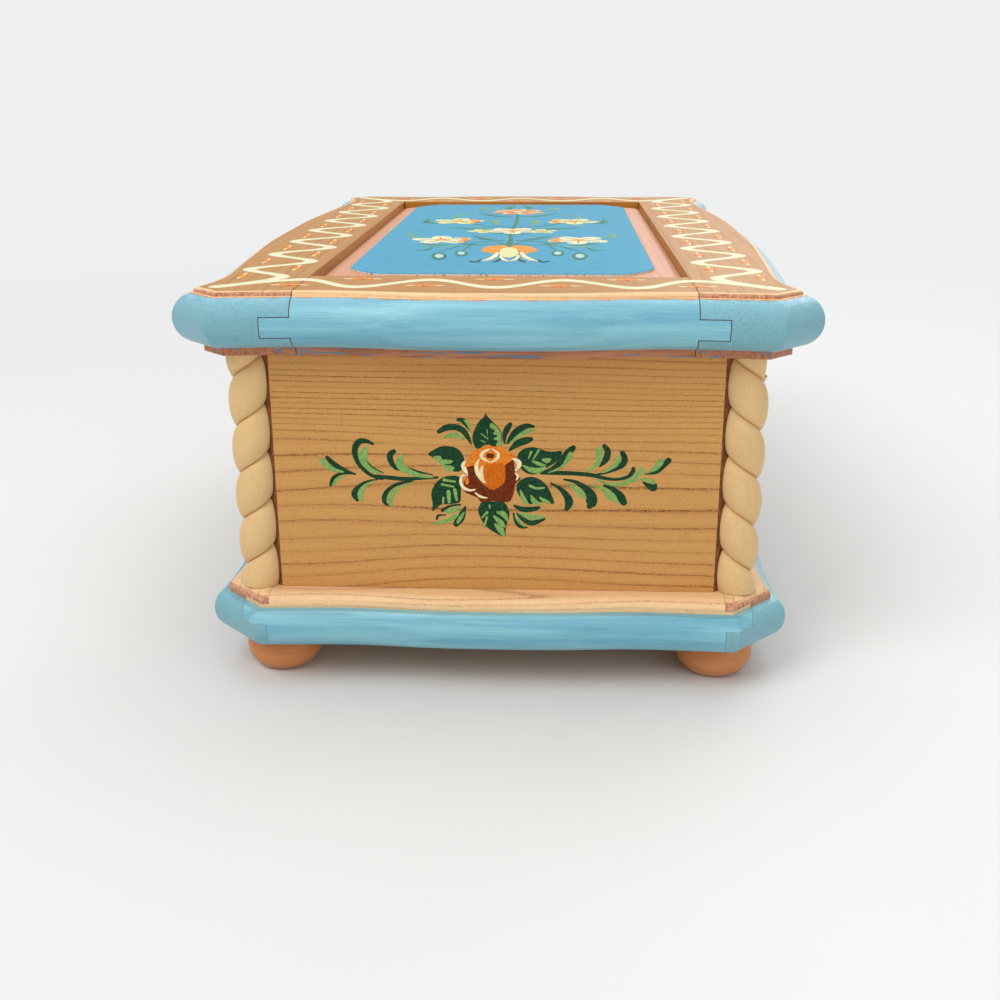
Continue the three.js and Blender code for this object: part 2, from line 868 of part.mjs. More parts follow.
function cylinderWheel() {
  const pitchRadius = (wheelModule * cylinderWheelTeeth) / 2;
  const tip = pitchRadius + wheelModule * addendumShare;
  const root = pitchRadius - wheelModule * dedendumShare;
  const points = toothed(cylinderWheelTeeth, tip, root, toothTipShare, 0);
  const bore = cylinderArborRadius + seam;
  return cut(
    wheelAlongX(points, wheelStart, wheelStart + wheelFace),
    shaft(bore, wheelStart - overrun, wheelStart + wheelFace + overrun, rodSides),
  );
}

function secondArbor() {
  const pitchRadius = (wheelModule * secondPinionTeeth) / 2;
  const tip = pitchRadius + wheelModule * addendumShare;
  const root = pitchRadius - wheelModule * dedendumShare;
  const halfTooth = Math.PI / secondPinionTeeth;
  const pinion = toothed(secondPinionTeeth, tip, root, toothTipShare, halfTooth);
  const module = (2 * secondWheelRadius) / secondWheelTeeth;
  const end = secondWheelStart + secondWheelFace;
  const wheel = toothed(
    secondWheelTeeth,
    secondWheelRadius + module * addendumShare,
    secondWheelRadius - module * dedendumShare,
    toothTipShare,
    0,
  );
  return join(
    shaft(secondArborRadius, trainCockEnd - trainCockThickness, end, rodSides),
    wheelAlongX(pinion, wheelStart, wheelStart + wheelFace),
    wheelAlongX(wheel, secondWheelStart, end),
  );
}

function comb() {
  const pitch = cylinderLength / combTeeth;
  const points = [[drumStart, combBack], [drumEnd, combBack]];
  for (let i = combTeeth - 1; i >= 0; i -= 1) {
    const start = drumStart + i * pitch;
    const share = i / (combTeeth - 1);
    const gap = combTip - (combLongTooth + (combShortTooth - combLongTooth) * share);
    points.push([start + pitch, i === combTeeth - 1 ? combTip : gap]);
    if (i < combTeeth - 1) points.push([start + pitch - combSlot, gap]);
    if (i < combTeeth - 1) points.push([start + pitch - combSlot, combTip]);
    points.push([start, combTip]);
  }
  return slab(points, axisZ - combThickness / 2, axisZ + combThickness / 2);
}

function combBase() {
  const top = axisZ - combThickness / 2 - seam;
  return block(drumStart, drumEnd, combBack, combBack + combBlockDepth, plateTop + seam, top);
}

// A round hole through a bridge that lies across X.
function bridgeHole(radius, start, end, y) {
  const bore = shaft(radius + runningGap, start - overrun, end + overrun, rodSides);
  return moved(bore, 0, y, axisZ);
}

function cylinderBridge() {
  const start = leftBridgeStart;
  const end = start + bridgeThickness;
  const plate = block(
    start, end, -bridgeHalfWidth, bridgeHalfWidth, plateTop + seam, axisZ + bridgeRim,
  );
  return cut(plate, bridgeHole(cylinderArborRadius, start, end, 0));
}

// The right bridge also carries the second arbor.
function trainBridge() {
  const start = rightBridgeStart;
  const end = start + bridgeThickness;
  const plate = block(
    start, end, -bridgeHalfWidth, secondY + bridgeHalfWidth, plateTop + seam, axisZ + bridgeRim,
  );
  const cylinderHole = bridgeHole(cylinderArborRadius, start, end, 0);
  const secondHole = bridgeHole(secondArborRadius, start, end, secondY);
  return cut(plate, cylinderHole, secondHole);
}

function trainCock() {
  const start = trainCockEnd - trainCockThickness;
  const end = trainCockEnd;
  const plate = block(
    start, end,
    secondY - trainCockHalfWidth, secondY + trainCockHalfWidth,
    plateTop + seam, axisZ + trainCockHalfWidth + seam,
  );
  return cut(plate, bridgeHole(secondArborRadius, start, end, secondY));
}

// Spring barrel about its own axis, at heights above the bedplate's underside.
const crownRoot = axisZ - pinionTipRadius - crownRootGap;
const barrelLow = plateTop + barrelFloorGap;
const drumLow = barrelLow + barrelCoverThickness + seam;
const ratchetLow = crownRoot + crownTooth + ratchetGap;
const ratchetHigh = ratchetLow + ratchetThickness;

function barrelDrum() {
  const inner = barrelRadius - barrelWall;
  const ceiling = crownRoot - barrelWall;
  const hole = arborRadius + softGap;
  let drum = turned(
    [
      [hole, ceiling],
      [inner, ceiling],
      [inner, drumLow],
      [barrelRadius, drumLow],
      [barrelRadius, crownRoot],
      [hole, crownRoot],
      [hole, ceiling],
    ],
    barrelSides,
  );
  const step = (2 * Math.PI) / crownTeeth;
  for (let i = 0; i < crownTeeth; i += 1) {
    const tooth = new THREE.BoxGeometry(crownToothLength, crownToothWidth, crownTooth * 2);
    tooth.translate(crownMiddle, 0, crownRoot);
    tooth.rotateZ((i + 0.5) * step);
    drum = join(drum, solidOf(tooth));
  }
  return drum;
}

function barrelCover() {
  const disc = post(barrelRadius, barrelLow, barrelLow + barrelCoverThickness, barrelSides);
  return cut(disc, post(arborRadius + softGap, 0, crownRoot, holeSides));
}

function mainspring() {
  const outer = barrelRadius - barrelWall - softGap;
  const low = drumLow + softGap;
  const high = crownRoot - barrelWall - softGap;
  const steps = springTurns * springSteps;
  const side = (shift) => {
    const points = [];
    for (let i = 0; i <= steps; i += 1) {
      const radius = springHubRadius + ((outer - springHubRadius) * i) / steps - shift;
      const angle = (2 * Math.PI * i) / springSteps;
      points.push([radius * Math.cos(angle), radius * Math.sin(angle)]);
    }
    return points;
  };
  return slab([...side(0), ...side(springStrip).reverse()], low, high);
}

// Winding arbor, ratchet wheel and key, which turn together.
const arborLow = -(boardThickness + keyBoardGap + keyHubHeight);
const bridgeLow = ratchetHigh + barrelBridgeGap;

function windingArbor() {
  const shoulder = bridgeLow - softGap;
  const top = bridgeLow + barrelBridgeThickness;
  return turned(
    [
      [0, arborLow],
      [arborRadius, arborLow],
      [arborRadius, shoulder],
      [arborPivotRadius, shoulder],
      [arborPivotRadius, top],
      [0, top],
    ],
    rodSides,
  );
}

// A round hole along Z that runs past both levels.
function verticalHole(radius, low, high) {
  return post(radius, low - overrun, high + overrun, rodSides);
}

// Saw teeth: each has one radial face and one long ramp.
function ratchetWheel() {
  const step = (2 * Math.PI) / ratchetTeeth;
  const root = ratchetRadius - ratchetToothDepth;
  const points = [];
  for (let i = 0; i < ratchetTeeth; i += 1) {
    const angle = Math.PI / 2 + i * step;
    points.push([root * Math.cos(angle), root * Math.sin(angle)]);
    points.push([ratchetRadius * Math.cos(angle), ratchetRadius * Math.sin(angle)]);
  }
  const wheel = slab(points, ratchetLow, ratchetHigh);
  return cut(wheel, verticalHole(arborRadius + seam, ratchetLow, ratchetHigh));
}

// The click lies along +X from its nose, with its pivot at the origin.
const clickPivot = [clickArm, ratchetRadius];

function click() {
  const nose = -clickArm + softGap;
  const points = [
    [nose, -ratchetToothDepth + softGap],
    [-clickArm + clickHeel, -ratchetToothDepth + clickHeelLift],
  ];
  const reach = Math.PI * clickBossArcShare;
  for (let i = 0; i <= rodSides; i += 1) {
    const angle = reach * ((2 * i) / rodSides - 1);
    points.push([clickBossRadius * Math.cos(angle), clickBossRadius * Math.sin(angle)]);
  }
  points.push([nose, clickNoseHeight - ratchetToothDepth]);
  const bore = verticalHole(clickPinRadius + runningGap, ratchetLow, ratchetHigh);
  return cut(slab(points, ratchetLow, ratchetHigh), bore);
}

function windingKey() {
  const top = arborLow + keyHubHeight;
  const hub = post(keyHubRadius, arborLow, top, rodSides);
  const half = keyWingThickness / 2;
  const wingTop = arborLow + keyHubHeight / 2;
  const wingLow = wingTop - keyWingHeight;
  const notch = keyHubRadius;
  const wing = [
    [-keyWingSpan / 2, wingLow + notch],
    [-keyWingSpan / 2 + notch, wingLow],
    [keyWingSpan / 2 - notch, wingLow],
    [keyWingSpan / 2, wingLow + notch],
    [keyWingSpan / 2, wingTop - notch],
    [keyWingSpan / 2 - notch, wingTop],
    [-keyWingSpan / 2 + notch, wingTop],
    [-keyWingSpan / 2, wingTop - notch],
  ];
  const shape = new THREE.Shape(wing.map(([x, z]) => new THREE.Vector2(x, z)));
  const settings = { depth: keyWingThickness, bevelEnabled: false };
  const geometry = new THREE.ExtrudeGeometry(shape, settings);
  geometry.rotateX(Math.PI / 2);
  geometry.translate(0, half, 0);
  const socket = post(arborRadius + seam, arborLow - seam, top + overrun, rodSides);
  return cut(join(hub, solidOf(geometry)), socket);
}

// A cock over the barrel: a post behind it, an arm to the arbor and a stud for the click.
function barrelBridge() {
  const top = bridgeLow + barrelBridgeThickness;
  const postFront = barrelRadius + barrelPostGap;
  const postBack = postFront + barrelPostDepth;
  const reach = clickArm + clickBossRadius;
  const points = [
    [-bridgeHalfWidth, postBack],
    [-bridgeHalfWidth, -bridgeHalfWidth / 2],
    [-bridgeHalfWidth / 2, -bridgeHalfWidth],
    [bridgeHalfWidth / 2, -bridgeHalfWidth],
    [bridgeHalfWidth, -bridgeHalfWidth / 2],
    [reach, ratchetRadius - clickBossRadius],
    [reach, ratchetRadius + clickBossRadius],
    [bridgeHalfWidth, postFront],
    [bridgeHalfWidth, postBack],
  ];
  const stud = moved(post(clickPinRadius, ratchetLow, top, rodSides), ...clickPivot, 0);
  const pillar = block(
    -bridgeHalfWidth, bridgeHalfWidth, postFront, postBack, plateTop + seam, bridgeLow + seam,
  );
  const bridge = join(slab(points, bridgeLow, top), pillar, stud);
  return cut(bridge, verticalHole(arborPivotRadius + runningGap, bridgeLow, top));
}

// Fly with its worm, about its own axis.
function fly() {
  const low = axisZ - flyPivotDrop - governorArmThickness / 2;
  const high = axisZ + flyPivotRise + governorArmThickness / 2;
  const pitch = (2 * Math.PI * secondWheelRadius) / secondWheelTeeth;
  const threadLine = wormCoreRadius + wormThreadLift;
  const path = new THREE.CatmullRomCurve3(
    Array.from({ length: wormTurns * wormSteps + 1 }, (_, i) => {
      const angle = (2 * Math.PI * i) / wormSteps - Math.PI / 2;
      const z = axisZ + pitch * (i / wormSteps - wormTurns / 2);
      return new THREE.Vector3(threadLine * Math.cos(angle), threadLine * Math.sin(angle), z);
    }),
  );
  const section = new THREE.Shape(
    Array.from({ length: threadSides }, (_, i) => {
      const angle = (2 * Math.PI * i) / threadSides;
      const radius = wormThreadRadius;
      return new THREE.Vector2(radius * Math.cos(angle), radius * Math.sin(angle));
    }),
  );
  const thread = new THREE.ExtrudeGeometry(section, {
    steps: wormTurns * wormSteps,
    extrudePath: path,
    bevelEnabled: false,
  });
  const half = flyWingThickness / 2;
  const reach = flyWingSpan / 2;
  const wing = block(-half, half, -reach, reach, wingLow, wingHigh);
  const coreReach = (pitch * (wormTurns + 1)) / 2;
  return join(
    post(flyShaftRadius, low, high, rodSides),
    post(wormCoreRadius, axisZ - coreReach, axisZ + coreReach, rodSides),
    solidOf(thread),
    wing,
  );
}

// C-shaped governor casting about the fly's axis, standing behind it.
function governorBlock() {
  const back = flyWingSpan / 2 + governorPostGap;
  const half = governorHalfWidth;
  const lowArm = axisZ - flyPivotDrop - governorArmThickness;
  const highArm = axisZ + flyPivotRise;
  const pillar = block(
    -half, half, back, back + governorPostDepth, plateTop + seam, highArm + governorArmThickness,
  );
  const arms = [lowArm, highArm].map((z) =>
    block(-half, half, -governorNose, back + seam, z, z + governorArmThickness),
  );
  const hole = verticalHole(flyShaftRadius + runningGap, lowArm, highArm + governorArmThickness);
  return cut(join(pillar, ...arms), hole);
}

// Stop rod: the closing lid presses it down, and its finger holds the fly.
const panelUnderside = lidFrame.grooveLow + seam - movementZ;

function stopRod() {
  const low = wingHigh + softGap;
  const high = low + stopFingerHeight;
  const half = stopFingerWidth / 2;
  return join(
    post(stopRodRadius, low, panelUnderside - softGap, rodSides),
    block(-stopFingerReach, 0, -half, half, low, high),
  );
}

function rodGuide() {
  const low = glassHeight + glassThickness + seam;
  const half = rodGuideWidth / 2;
  const start = stopRodX - stopRodRadius - runningGap - rodGuideWall;
  const guide = block(
    start, roomRight - seam, stopRodY - half, stopRodY + half, low, low + rodGuideHeight,
  );
  const bore = verticalHole(stopRodRadius + runningGap, low, low + rodGuideHeight);
  return cut(guide, moved(bore, stopRodX, stopRodY, 0));
}

const roomHalfWidth = halfWidth - wallThickness;

function movementGlass() {
  const half = roomHalfWidth - softGap;
  const top = glassHeight + glassThickness;
  const pane = block(roomLeft + softGap, roomRight - softGap, -half, half, glassHeight, top);
  const slot = verticalHole(stopRodRadius + rodSlotGap, glassHeight, top);
  return cut(pane, moved(slot, stopRodX, stopRodY, 0));
}

function glassLedge(start) {
  const half = roomHalfWidth - seam;
  const top = glassHeight - seam;
  return block(start, start + ledgeSection, -half, half, top - ledgeSection, top);
}

const partitionStart = -halfLength + wallThickness + movementRoom;
const partitionEnd = partitionStart + partitionThickness;

function partition() {
  const half = roomHalfWidth - seam;
  return block(partitionStart, partitionEnd, -half, half, wallBottom, wallTop - partitionDrop);
}

// Velvet pads of the jewellery room.
const trayStart = partitionEnd + softGap;
const trayEnd = halfLength - wallThickness - softGap;
const trayHalf = roomHalfWidth - softGap;
const padFloor = wallBottom + liningThickness;
const padTop = wallTop - liningDrop;

function floorLining() {
  return block(trayStart, trayEnd, -trayHalf, trayHalf, wallBottom, padFloor);
}

function sideLining(side) {
  const inner = trayHalf - liningThickness;
  return block(trayStart, trayEnd, side * trayHalf, side * inner, padFloor + softGap, padTop);
}

function endLining(start) {
  const half = trayHalf - liningThickness - softGap;
  return block(start, start + liningThickness, -half, half, padFloor + softGap, padTop);
}

// The assembled box
const musicBox = new THREE.Group();
const movement = new THREE.Group();
movement.position.set(movementX, 0, movementZ);
musicBox.add(movement);

function place(group, name, solid, finish, position = [0, 0, 0], turn = 0) {
  const material = new THREE.MeshStandardMaterial({ name, ...finishes[finish] });
  const mesh = new THREE.Mesh(geometryOf(solid), material);
  mesh.name = name;
  mesh.position.set(...position);
  mesh.rotation.z = turn;
  group.add(mesh);
}

for (const [side, rail] of Object.entries(baseRails()))
  place(musicBox, `base_${side}_rail`, rail, "blueWood");
place(musicBox, "bottom_board", bottomBoard(), "plainWood");

const corners = [
  ["front_left", -1, -1],
  ["front_right", 1, -1],
  ["back_left", -1, 1],
  ["back_right", 1, 1],
];
for (const [corner, sx, sy] of corners) {
  const footPlace = [sx * (halfLength - footInset), sy * (halfWidth - footInset), 0];
  place(musicBox, `foot_${corner}`, bunFoot(), "footWood", footPlace);
}

place(musicBox, "front_wall", frontWall(), "honeyWood");
place(musicBox, "back_wall", backWall(), "honeyWood");
place(musicBox, "left_wall", endWall(-1), "honeyWood");
place(musicBox, "right_wall", endWall(1), "honeyWood");

for (const [corner, sx, sy] of corners) {
  const inset = wallChamfer / 2 - seam - columnSetOut * Math.SQRT1_2;
  const columnPlace = [sx * (halfLength - inset), sy * (halfWidth - inset), 0];
  const facing = Math.atan2(sy, sx);
  const column = twistedColumn(-sx * sy);
  const cleared = sy > 0 ? cut(column, swingRelief(columnPlace, facing)) : column;
  place(musicBox, `column_${corner}`, cleared, "paleWood", columnPlace, facing);
}

place(musicBox, "partition", partition(), "plainWood");
place(musicBox, "floor_lining", floorLining(), "velvet");
place(musicBox, "front_lining", sideLining(-1), "velvet");
place(musicBox, "back_lining", sideLining(1), "velvet");
place(musicBox, "partition_lining", endLining(trayStart), "velvet");
place(musicBox, "right_lining", endLining(trayEnd - liningThickness), "velvet");

for (const [side, rail] of Object.entries(lidRails()))
  place(musicBox, `lid_${side}_rail`, rail, "blueWood");
place(musicBox, "lid_panel", lidPanel(), "blueWood");

for (const [side, x] of [["left", hingePlaces[0]], ["right", hingePlaces[1]]]) {
  const axis = [x, hingeAxisY, hingeAxisZ];
  const jointGap = lidGap / 2;
  const bodyLeaf = hingeLeaf(-jointGap - leafThickness + seam, -jointGap, 0);
  const lidLeaf = hingeLeaf(jointGap, jointGap + leafThickness - seam, 1);
  const pin = shaft(hingePinRadius, -leafLength / 2, leafLength / 2, knuckleSides);
  place(musicBox, `hinge_wall_leaf_${side}`, bodyLeaf, "brass", axis);
  place(musicBox, `hinge_lid_leaf_${side}`, lidLeaf, "brass", axis);
  place(musicBox, `hinge_pin_${side}`, pin, "brass", axis);
}

place(movement, "bedplate", bedplate(), "castPlate");
place(movement, "comb_base", combBase(), "castPlate");
place(movement, "comb", comb(), "steel");
place(movement, "cylinder_bridge", cylinderBridge(), "brass");
place(movement, "train_bridge", trainBridge(), "brass");
place(movement, "train_cock", trainCock(), "brass");
place(movement, "barrel_bridge", barrelBridge(), "brass", [barrelX, 0, 0]);
place(movement, "governor_block", governorBlock(), "brass", [flyX, flyY, 0]);
place(movement, "movement_glass", movementGlass(), "glass");
place(movement, "glass_ledge_left", glassLedge(roomLeft + seam), "plainWood");
place(movement, "glass_ledge_right", glassLedge(roomRight - ledgeSection - seam), "plainWood");
place(movement, "rod_guide", rodGuide(), "brass");

place(movement, "pinned_cylinder", pinnedCylinder(), "brass", [0, 0, axisZ]);
place(movement, "cylinder_arbor", cylinderArbor(), "steel", [0, 0, axisZ]);
place(movement, "cylinder_wheel", cylinderWheel(), "brass", [0, 0, axisZ]);
place(movement, "barrel_drum", barrelDrum(), "brass", [barrelX, 0, 0]);
place(movement, "barrel_cover", barrelCover(), "brass", [barrelX, 0, 0]);
place(movement, "mainspring", mainspring(), "steel", [barrelX, 0, 0]);
place(movement, "winding_arbor", windingArbor(), "steel", [barrelX, 0, 0]);
place(movement, "ratchet_wheel", ratchetWheel(), "steel", [barrelX, 0, 0]);
place(movement, "winding_key", windingKey(), "brass", [barrelX, 0, 0]);
place(movement, "click", click(), "steel", [barrelX + clickPivot[0], clickPivot[1], 0]);
place(movement, "second_arbor", secondArbor(), "steel", [0, secondY, axisZ]);
place(movement, "fly", fly(), "steel", [flyX, flyY, 0]);
place(movement, "stop_rod", stopRod(), "steel", [stopRodX, stopRodY, 0]);

export default musicBox;
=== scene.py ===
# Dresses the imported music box: wood, paint, velvet and metal around the fixed frame.
# Positions are written in millimetres in the row frame and scaled to metres when a mesh is made.
import math
import random

import bmesh
import bpy
import numpy as np
from mathutils import Matrix, Vector


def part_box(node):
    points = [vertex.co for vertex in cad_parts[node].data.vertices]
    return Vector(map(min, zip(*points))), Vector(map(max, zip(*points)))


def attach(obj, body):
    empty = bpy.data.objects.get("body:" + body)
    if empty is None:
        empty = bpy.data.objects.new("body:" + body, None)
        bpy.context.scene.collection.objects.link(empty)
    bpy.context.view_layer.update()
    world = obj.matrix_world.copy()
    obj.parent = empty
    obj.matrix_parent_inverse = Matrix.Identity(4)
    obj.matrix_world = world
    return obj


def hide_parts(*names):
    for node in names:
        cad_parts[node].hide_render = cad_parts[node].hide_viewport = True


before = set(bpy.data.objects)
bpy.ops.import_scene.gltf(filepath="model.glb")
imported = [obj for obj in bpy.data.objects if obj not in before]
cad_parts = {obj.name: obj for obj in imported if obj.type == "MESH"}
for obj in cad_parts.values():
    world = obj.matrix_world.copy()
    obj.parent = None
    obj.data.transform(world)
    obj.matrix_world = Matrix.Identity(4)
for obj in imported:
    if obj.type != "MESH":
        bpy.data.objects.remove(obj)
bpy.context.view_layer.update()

MM = 0.001
scene = bpy.context.scene

# ---------------------------------------------------------------- levels of the frame, in millimetres
HALF_LENGTH, HALF_WIDTH = 143.0, 79.5
BASE_BOTTOM, BASE_TOP = 13.5, 30.25
WALL_BOTTOM, WALL_TOP = 30.35, 106.15
LID_BOTTOM, LID_TOP = 106.45, 125.45
FIELD_TOP = LID_TOP - 0.4
LID_INNER, BASE_INNER = (121.85, 58.35), (134.8, 71.3)


# ---------------------------------------------------------------- camera
def place_camera():
    """The camera as it was fitted to the corners of the box in the photo."""
    focal_px, image_px, sensor = 1214.83, 1000.0, 36.0
    pitch, yaw, roll = 0.332, 0.046, -0.003
    ahead, beside, height = 353.9, 17.55, 182.26
    place = Vector((HALF_LENGTH + ahead, beside, height)) * MM
    forward = Vector((-math.cos(pitch) * math.cos(yaw), -math.cos(pitch) * math.sin(yaw), -math.sin(pitch)))
    level = Vector((-math.sin(yaw), math.cos(yaw), 0.0))
    rise = level.cross(forward)
    right = level * math.cos(roll) + rise * math.sin(roll)
    up = rise * math.cos(roll) - level * math.sin(roll)
    data = bpy.data.cameras.new("camera")
    data.sensor_width = sensor
    data.lens = sensor * focal_px / image_px
    data.clip_start, data.clip_end = 0.01, 50
    camera = bpy.data.objects.new("camera", data)
    scene.collection.objects.link(camera)
    camera.matrix_world = Matrix.Translation(place) @ Matrix((right, up, -forward)).transposed().to_4x4()
    scene.camera = camera


place_camera()


# ---------------------------------------------------------------- shader kit
def rgb(red, green, blue):
    def linear(value):
        value /= 255
        return value / 12.92 if value <= 0.04045 else ((value + 0.055) / 1.055) ** 2.4

    return (linear(red), linear(green), linear(blue), 1.0)


class Nodes:
    """An emptied node tree and short ways to fill it."""

    def __init__(self, owner):
        owner.use_nodes = True
        self.tree = owner.node_tree
        self.tree.nodes.clear()

    def put(self, socket, value):
        if isinstance(value, bpy.types.NodeSocket):
            self.tree.links.new(value, socket)
        else:
            socket.default_value = value

    def add(self, kind, sockets, **settings):
        """A node with its settings, and values on its sockets by number or name."""
        node = self.tree.nodes.new(kind)
        for key, value in settings.items():
            setattr(node, key, value)
        for key, value in sockets.items():
            self.put(node.inputs[key], value)
        return node

    def math(self, operation, first, second=0.0, third=0.0, clamp=False):
        sockets = {0: first, 1: second, 2: third}
        return self.add("ShaderNodeMath", sockets, operation=operation, use_clamp=clamp).outputs[0]

    def times(self, first, second):
        return self.math("MULTIPLY", first, second)

    def step(self, value, low, high):
        """0 at low, 1 at high, smooth between."""
        sockets = {0: value, 1: low, 2: high}
        return self.add("ShaderNodeMapRange", sockets, interpolation_type="SMOOTHSTEP").outputs[0]


class Shader(Nodes):
    """Builds one material; coordinates reach it in millimetres of the row frame at rest."""

    def __init__(self, name, roughness=0.5, metallic=0.0):
        self.material = bpy.data.materials.new(name)
        super().__init__(self.material)
        self.bsdf = self.add("ShaderNodeBsdfPrincipled", {"Roughness": roughness, "Metallic": metallic})
        self.add("ShaderNodeOutputMaterial", {0: self.bsdf.outputs[0]})
        coord = self.add("ShaderNodeTexCoord", {})
        scaled = {0: coord.outputs["Object"], "Scale": 1000.0}
        self.place = self.add("ShaderNodeVectorMath", scaled, operation="SCALE").outputs[0]
        self.axes = self.add("ShaderNodeSeparateXYZ", {0: self.place}).outputs
        self.normal = self.add("ShaderNodeSeparateXYZ", {0: coord.outputs["Normal"]}).outputs

    def join(self, x, y, z):
        return self.add("ShaderNodeCombineXYZ", {0: x, 1: y, 2: z}).outputs[0]

    def noise(self, where, detail=2.0, roughness=0.5):
        sockets = {"Vector": where, "Scale": 1.0, "Detail": detail, "Roughness": roughness}
        return self.add("ShaderNodeTexNoise", sockets).outputs[0]

    def stretched(self, rates, **settings):
        """Noise whose rates along X, Y and Z are per millimetre."""
        where = self.add("ShaderNodeVectorMath", {0: self.place, 1: rates}, operation="MULTIPLY")
        return self.noise(where.outputs[0], **settings)

    def ramp(self, factor, stops):
        node = self.add("ShaderNodeValToRGB", {0: factor})
        elements = node.color_ramp.elements
        while len(elements) < len(stops):
            elements.new(0.5)
        for element, (position, grey) in zip(elements, stops):
            element.position = position
            element.color = (grey, grey, grey, 1.0)
        return node.outputs[0]

    def mix(self, factor, first, second):
        return self.add("ShaderNodeMix", {0: factor, 6: first, 7: second}, data_type="RGBA").outputs[2]

    def over(self, under, colour, mask, share):
        """That share of a colour laid over another where the mask is 1."""
        return self.mix(self.times(mask, share), under, colour)

    def facing(self, axis, low, high):
        """1 where the surface faces along that axis, either way."""
        return self.step(self.math("ABSOLUTE", self.normal["xyz".index(axis)]), low, high)

    def finish(self, colour, roughness, layers=(), **sockets):
        """Sets the sockets, with _ for a space in a name; each layer is a bump's (height, depth in millimetres)."""
        bumps = {}
        for height, depth in layers:
            relief = {"Height": height, "Distance": depth * MM, "Strength": 1.0}
            bumps = {"Normal": self.add("ShaderNodeBump", {**relief, **bumps}).outputs[0]}
        for name, value in {"Base_Color": colour, "Roughness": roughness, **sockets, **bumps}.items():
            self.put(self.bsdf.inputs[name.replace("_", " ")], value)
        return self.material


def rates(along, rate, others):
    """One rate along that axis and another along the other two."""
    return tuple(rate if axis == along else others for axis in "xyz")


def grain(shader, along, across, spacing, wobble, seed, crowd):
    """Yearly rings as a wave from 0 to 1, the number of each ring, the way along, and three fine streaks."""
    depth = ({"x", "y", "z"} - {along, across}).pop()
    u, v, w = (shader.axes["xyz".index(axis)] for axis in (along, across, depth))
    drift = shader.join(shader.times(u, 0.007), shader.math("MULTIPLY_ADD", v, 0.035, seed), shader.times(w, 0.03))
    slow = shader.noise(drift, detail=1.0)
    fine = shader.stretched(rates(along, 0.16, 0.7), detail=3.0, roughness=0.6)
    ring = shader.math("MULTIPLY_ADD", v, 1.0 / spacing, seed)
    ring = shader.math("ADD", ring, shader.times(slow, wobble))
    ring = shader.math("ADD", ring, shader.times(fine, 0.16))
    if crowd:
        low, high, extra = crowd
        ring = shader.math("ADD", ring, shader.times(shader.step(v, low, high), extra))
    streak = shader.stretched(rates(along, 0.03, 1.3), detail=3.0, roughness=0.65)
    pore = shader.stretched(rates(along, 0.5, 5.0), detail=1.0)
    dots = shader.stretched(rates(along, 1.4, 3.4), detail=2.0, roughness=0.6)
    return shader.math("FRACT", ring), shader.math("FLOOR", ring), u, streak, pore, dots


def wood(name, along, across, light, middle, dark, spacing=3.6, wobble=2.4, contrast=1.0, roughness=0.42,
         seed=0.0, coat=0.25, pore_depth=0.05, speckle=0.35, end=None, corner=None, crowd=None):
    """Sawn wood. end is its two colours where the surface faces along the grain, corner those of an eased corner.
    crowd is a stretch across the grain with that many more rings."""
    shader = Shader(name, roughness)
    saw, number, u, streak, pore, dots = grain(shader, along, across, spacing, wobble, seed, crowd)
    strength = shader.noise(shader.join(shader.times(number, 3.71), shader.times(u, 0.012), seed), detail=1.0)
    strength = shader.math("MULTIPLY_ADD", strength, 2.6, -0.75, clamp=True)
    faint = shader.math("MULTIPLY_ADD", strength, 0.8, 0.2)
    line = shader.ramp(saw, [(0.0, 0.2), (0.08, 0.0), (0.82, 0.0), (0.93, 1.0), (0.96, 1.0), (1.0, 0.2)])
    band = shader.ramp(saw, [(0.0, 0.5), (0.3, 0.08), (0.5, 0.0), (0.93, 0.75), (1.0, 0.5)])
    broken = shader.math("MULTIPLY_ADD", shader.step(dots, 0.36, 0.56), 0.45, 0.55)
    line = shader.times(shader.times(line, broken), faint)
    dash = shader.step(pore, 0.62, 0.76)
    pale = tuple(min(1.0, c * 1.15) for c in light[:3]) + (1.0,)
    tone = shader.over(light, middle, shader.times(band, faint), 0.75 * contrast)
    tone = shader.over(tone, dark, line, contrast)
    tone = shader.over(tone, middle, shader.step(streak, 0.42, 0.75), 0.35)
    tone = shader.over(tone, dark, dash, speckle)
    tone = shader.over(tone, pale, shader.step(dots, 0.55, 0.42), speckle)
    layers = [(shader.math("SUBTRACT", 1.0, line), 0.05), (shader.math("SUBTRACT", 1.0, dash), pore_depth)]
    layers.append((streak, 0.02))
    torn = []
    if end:
        torn.append((shader.facing(along, 0.45, 0.7), (1.1, 1.1, 1.1), 0.35, end))
    if corner:
        eased = shader.times(shader.facing("x", 0.3, 0.5), shader.facing("y", 0.3, 0.5))
        torn.append((eased, (1.3, 1.3, 0.45), 0.3, corner))
    for mask, rough_rates, depth, (high_tone, low_tone) in torn:
        rough = shader.stretched(rough_rates, detail=4.0, roughness=0.75)
        tone = shader.mix(mask, tone, shader.mix(shader.step(rough, 0.36, 0.62), low_tone, high_tone))
        layers.append((shader.times(rough, mask), depth))
    sheen = shader.math("MULTIPLY_ADD", streak, 0.16, roughness - 0.08)
    return shader.finish(
        tone, sheen, layers, Specular_IOR_Level=0.15, Coat_Weight=coat, Coat_IOR=1.25, Coat_Roughness=0.28
    )


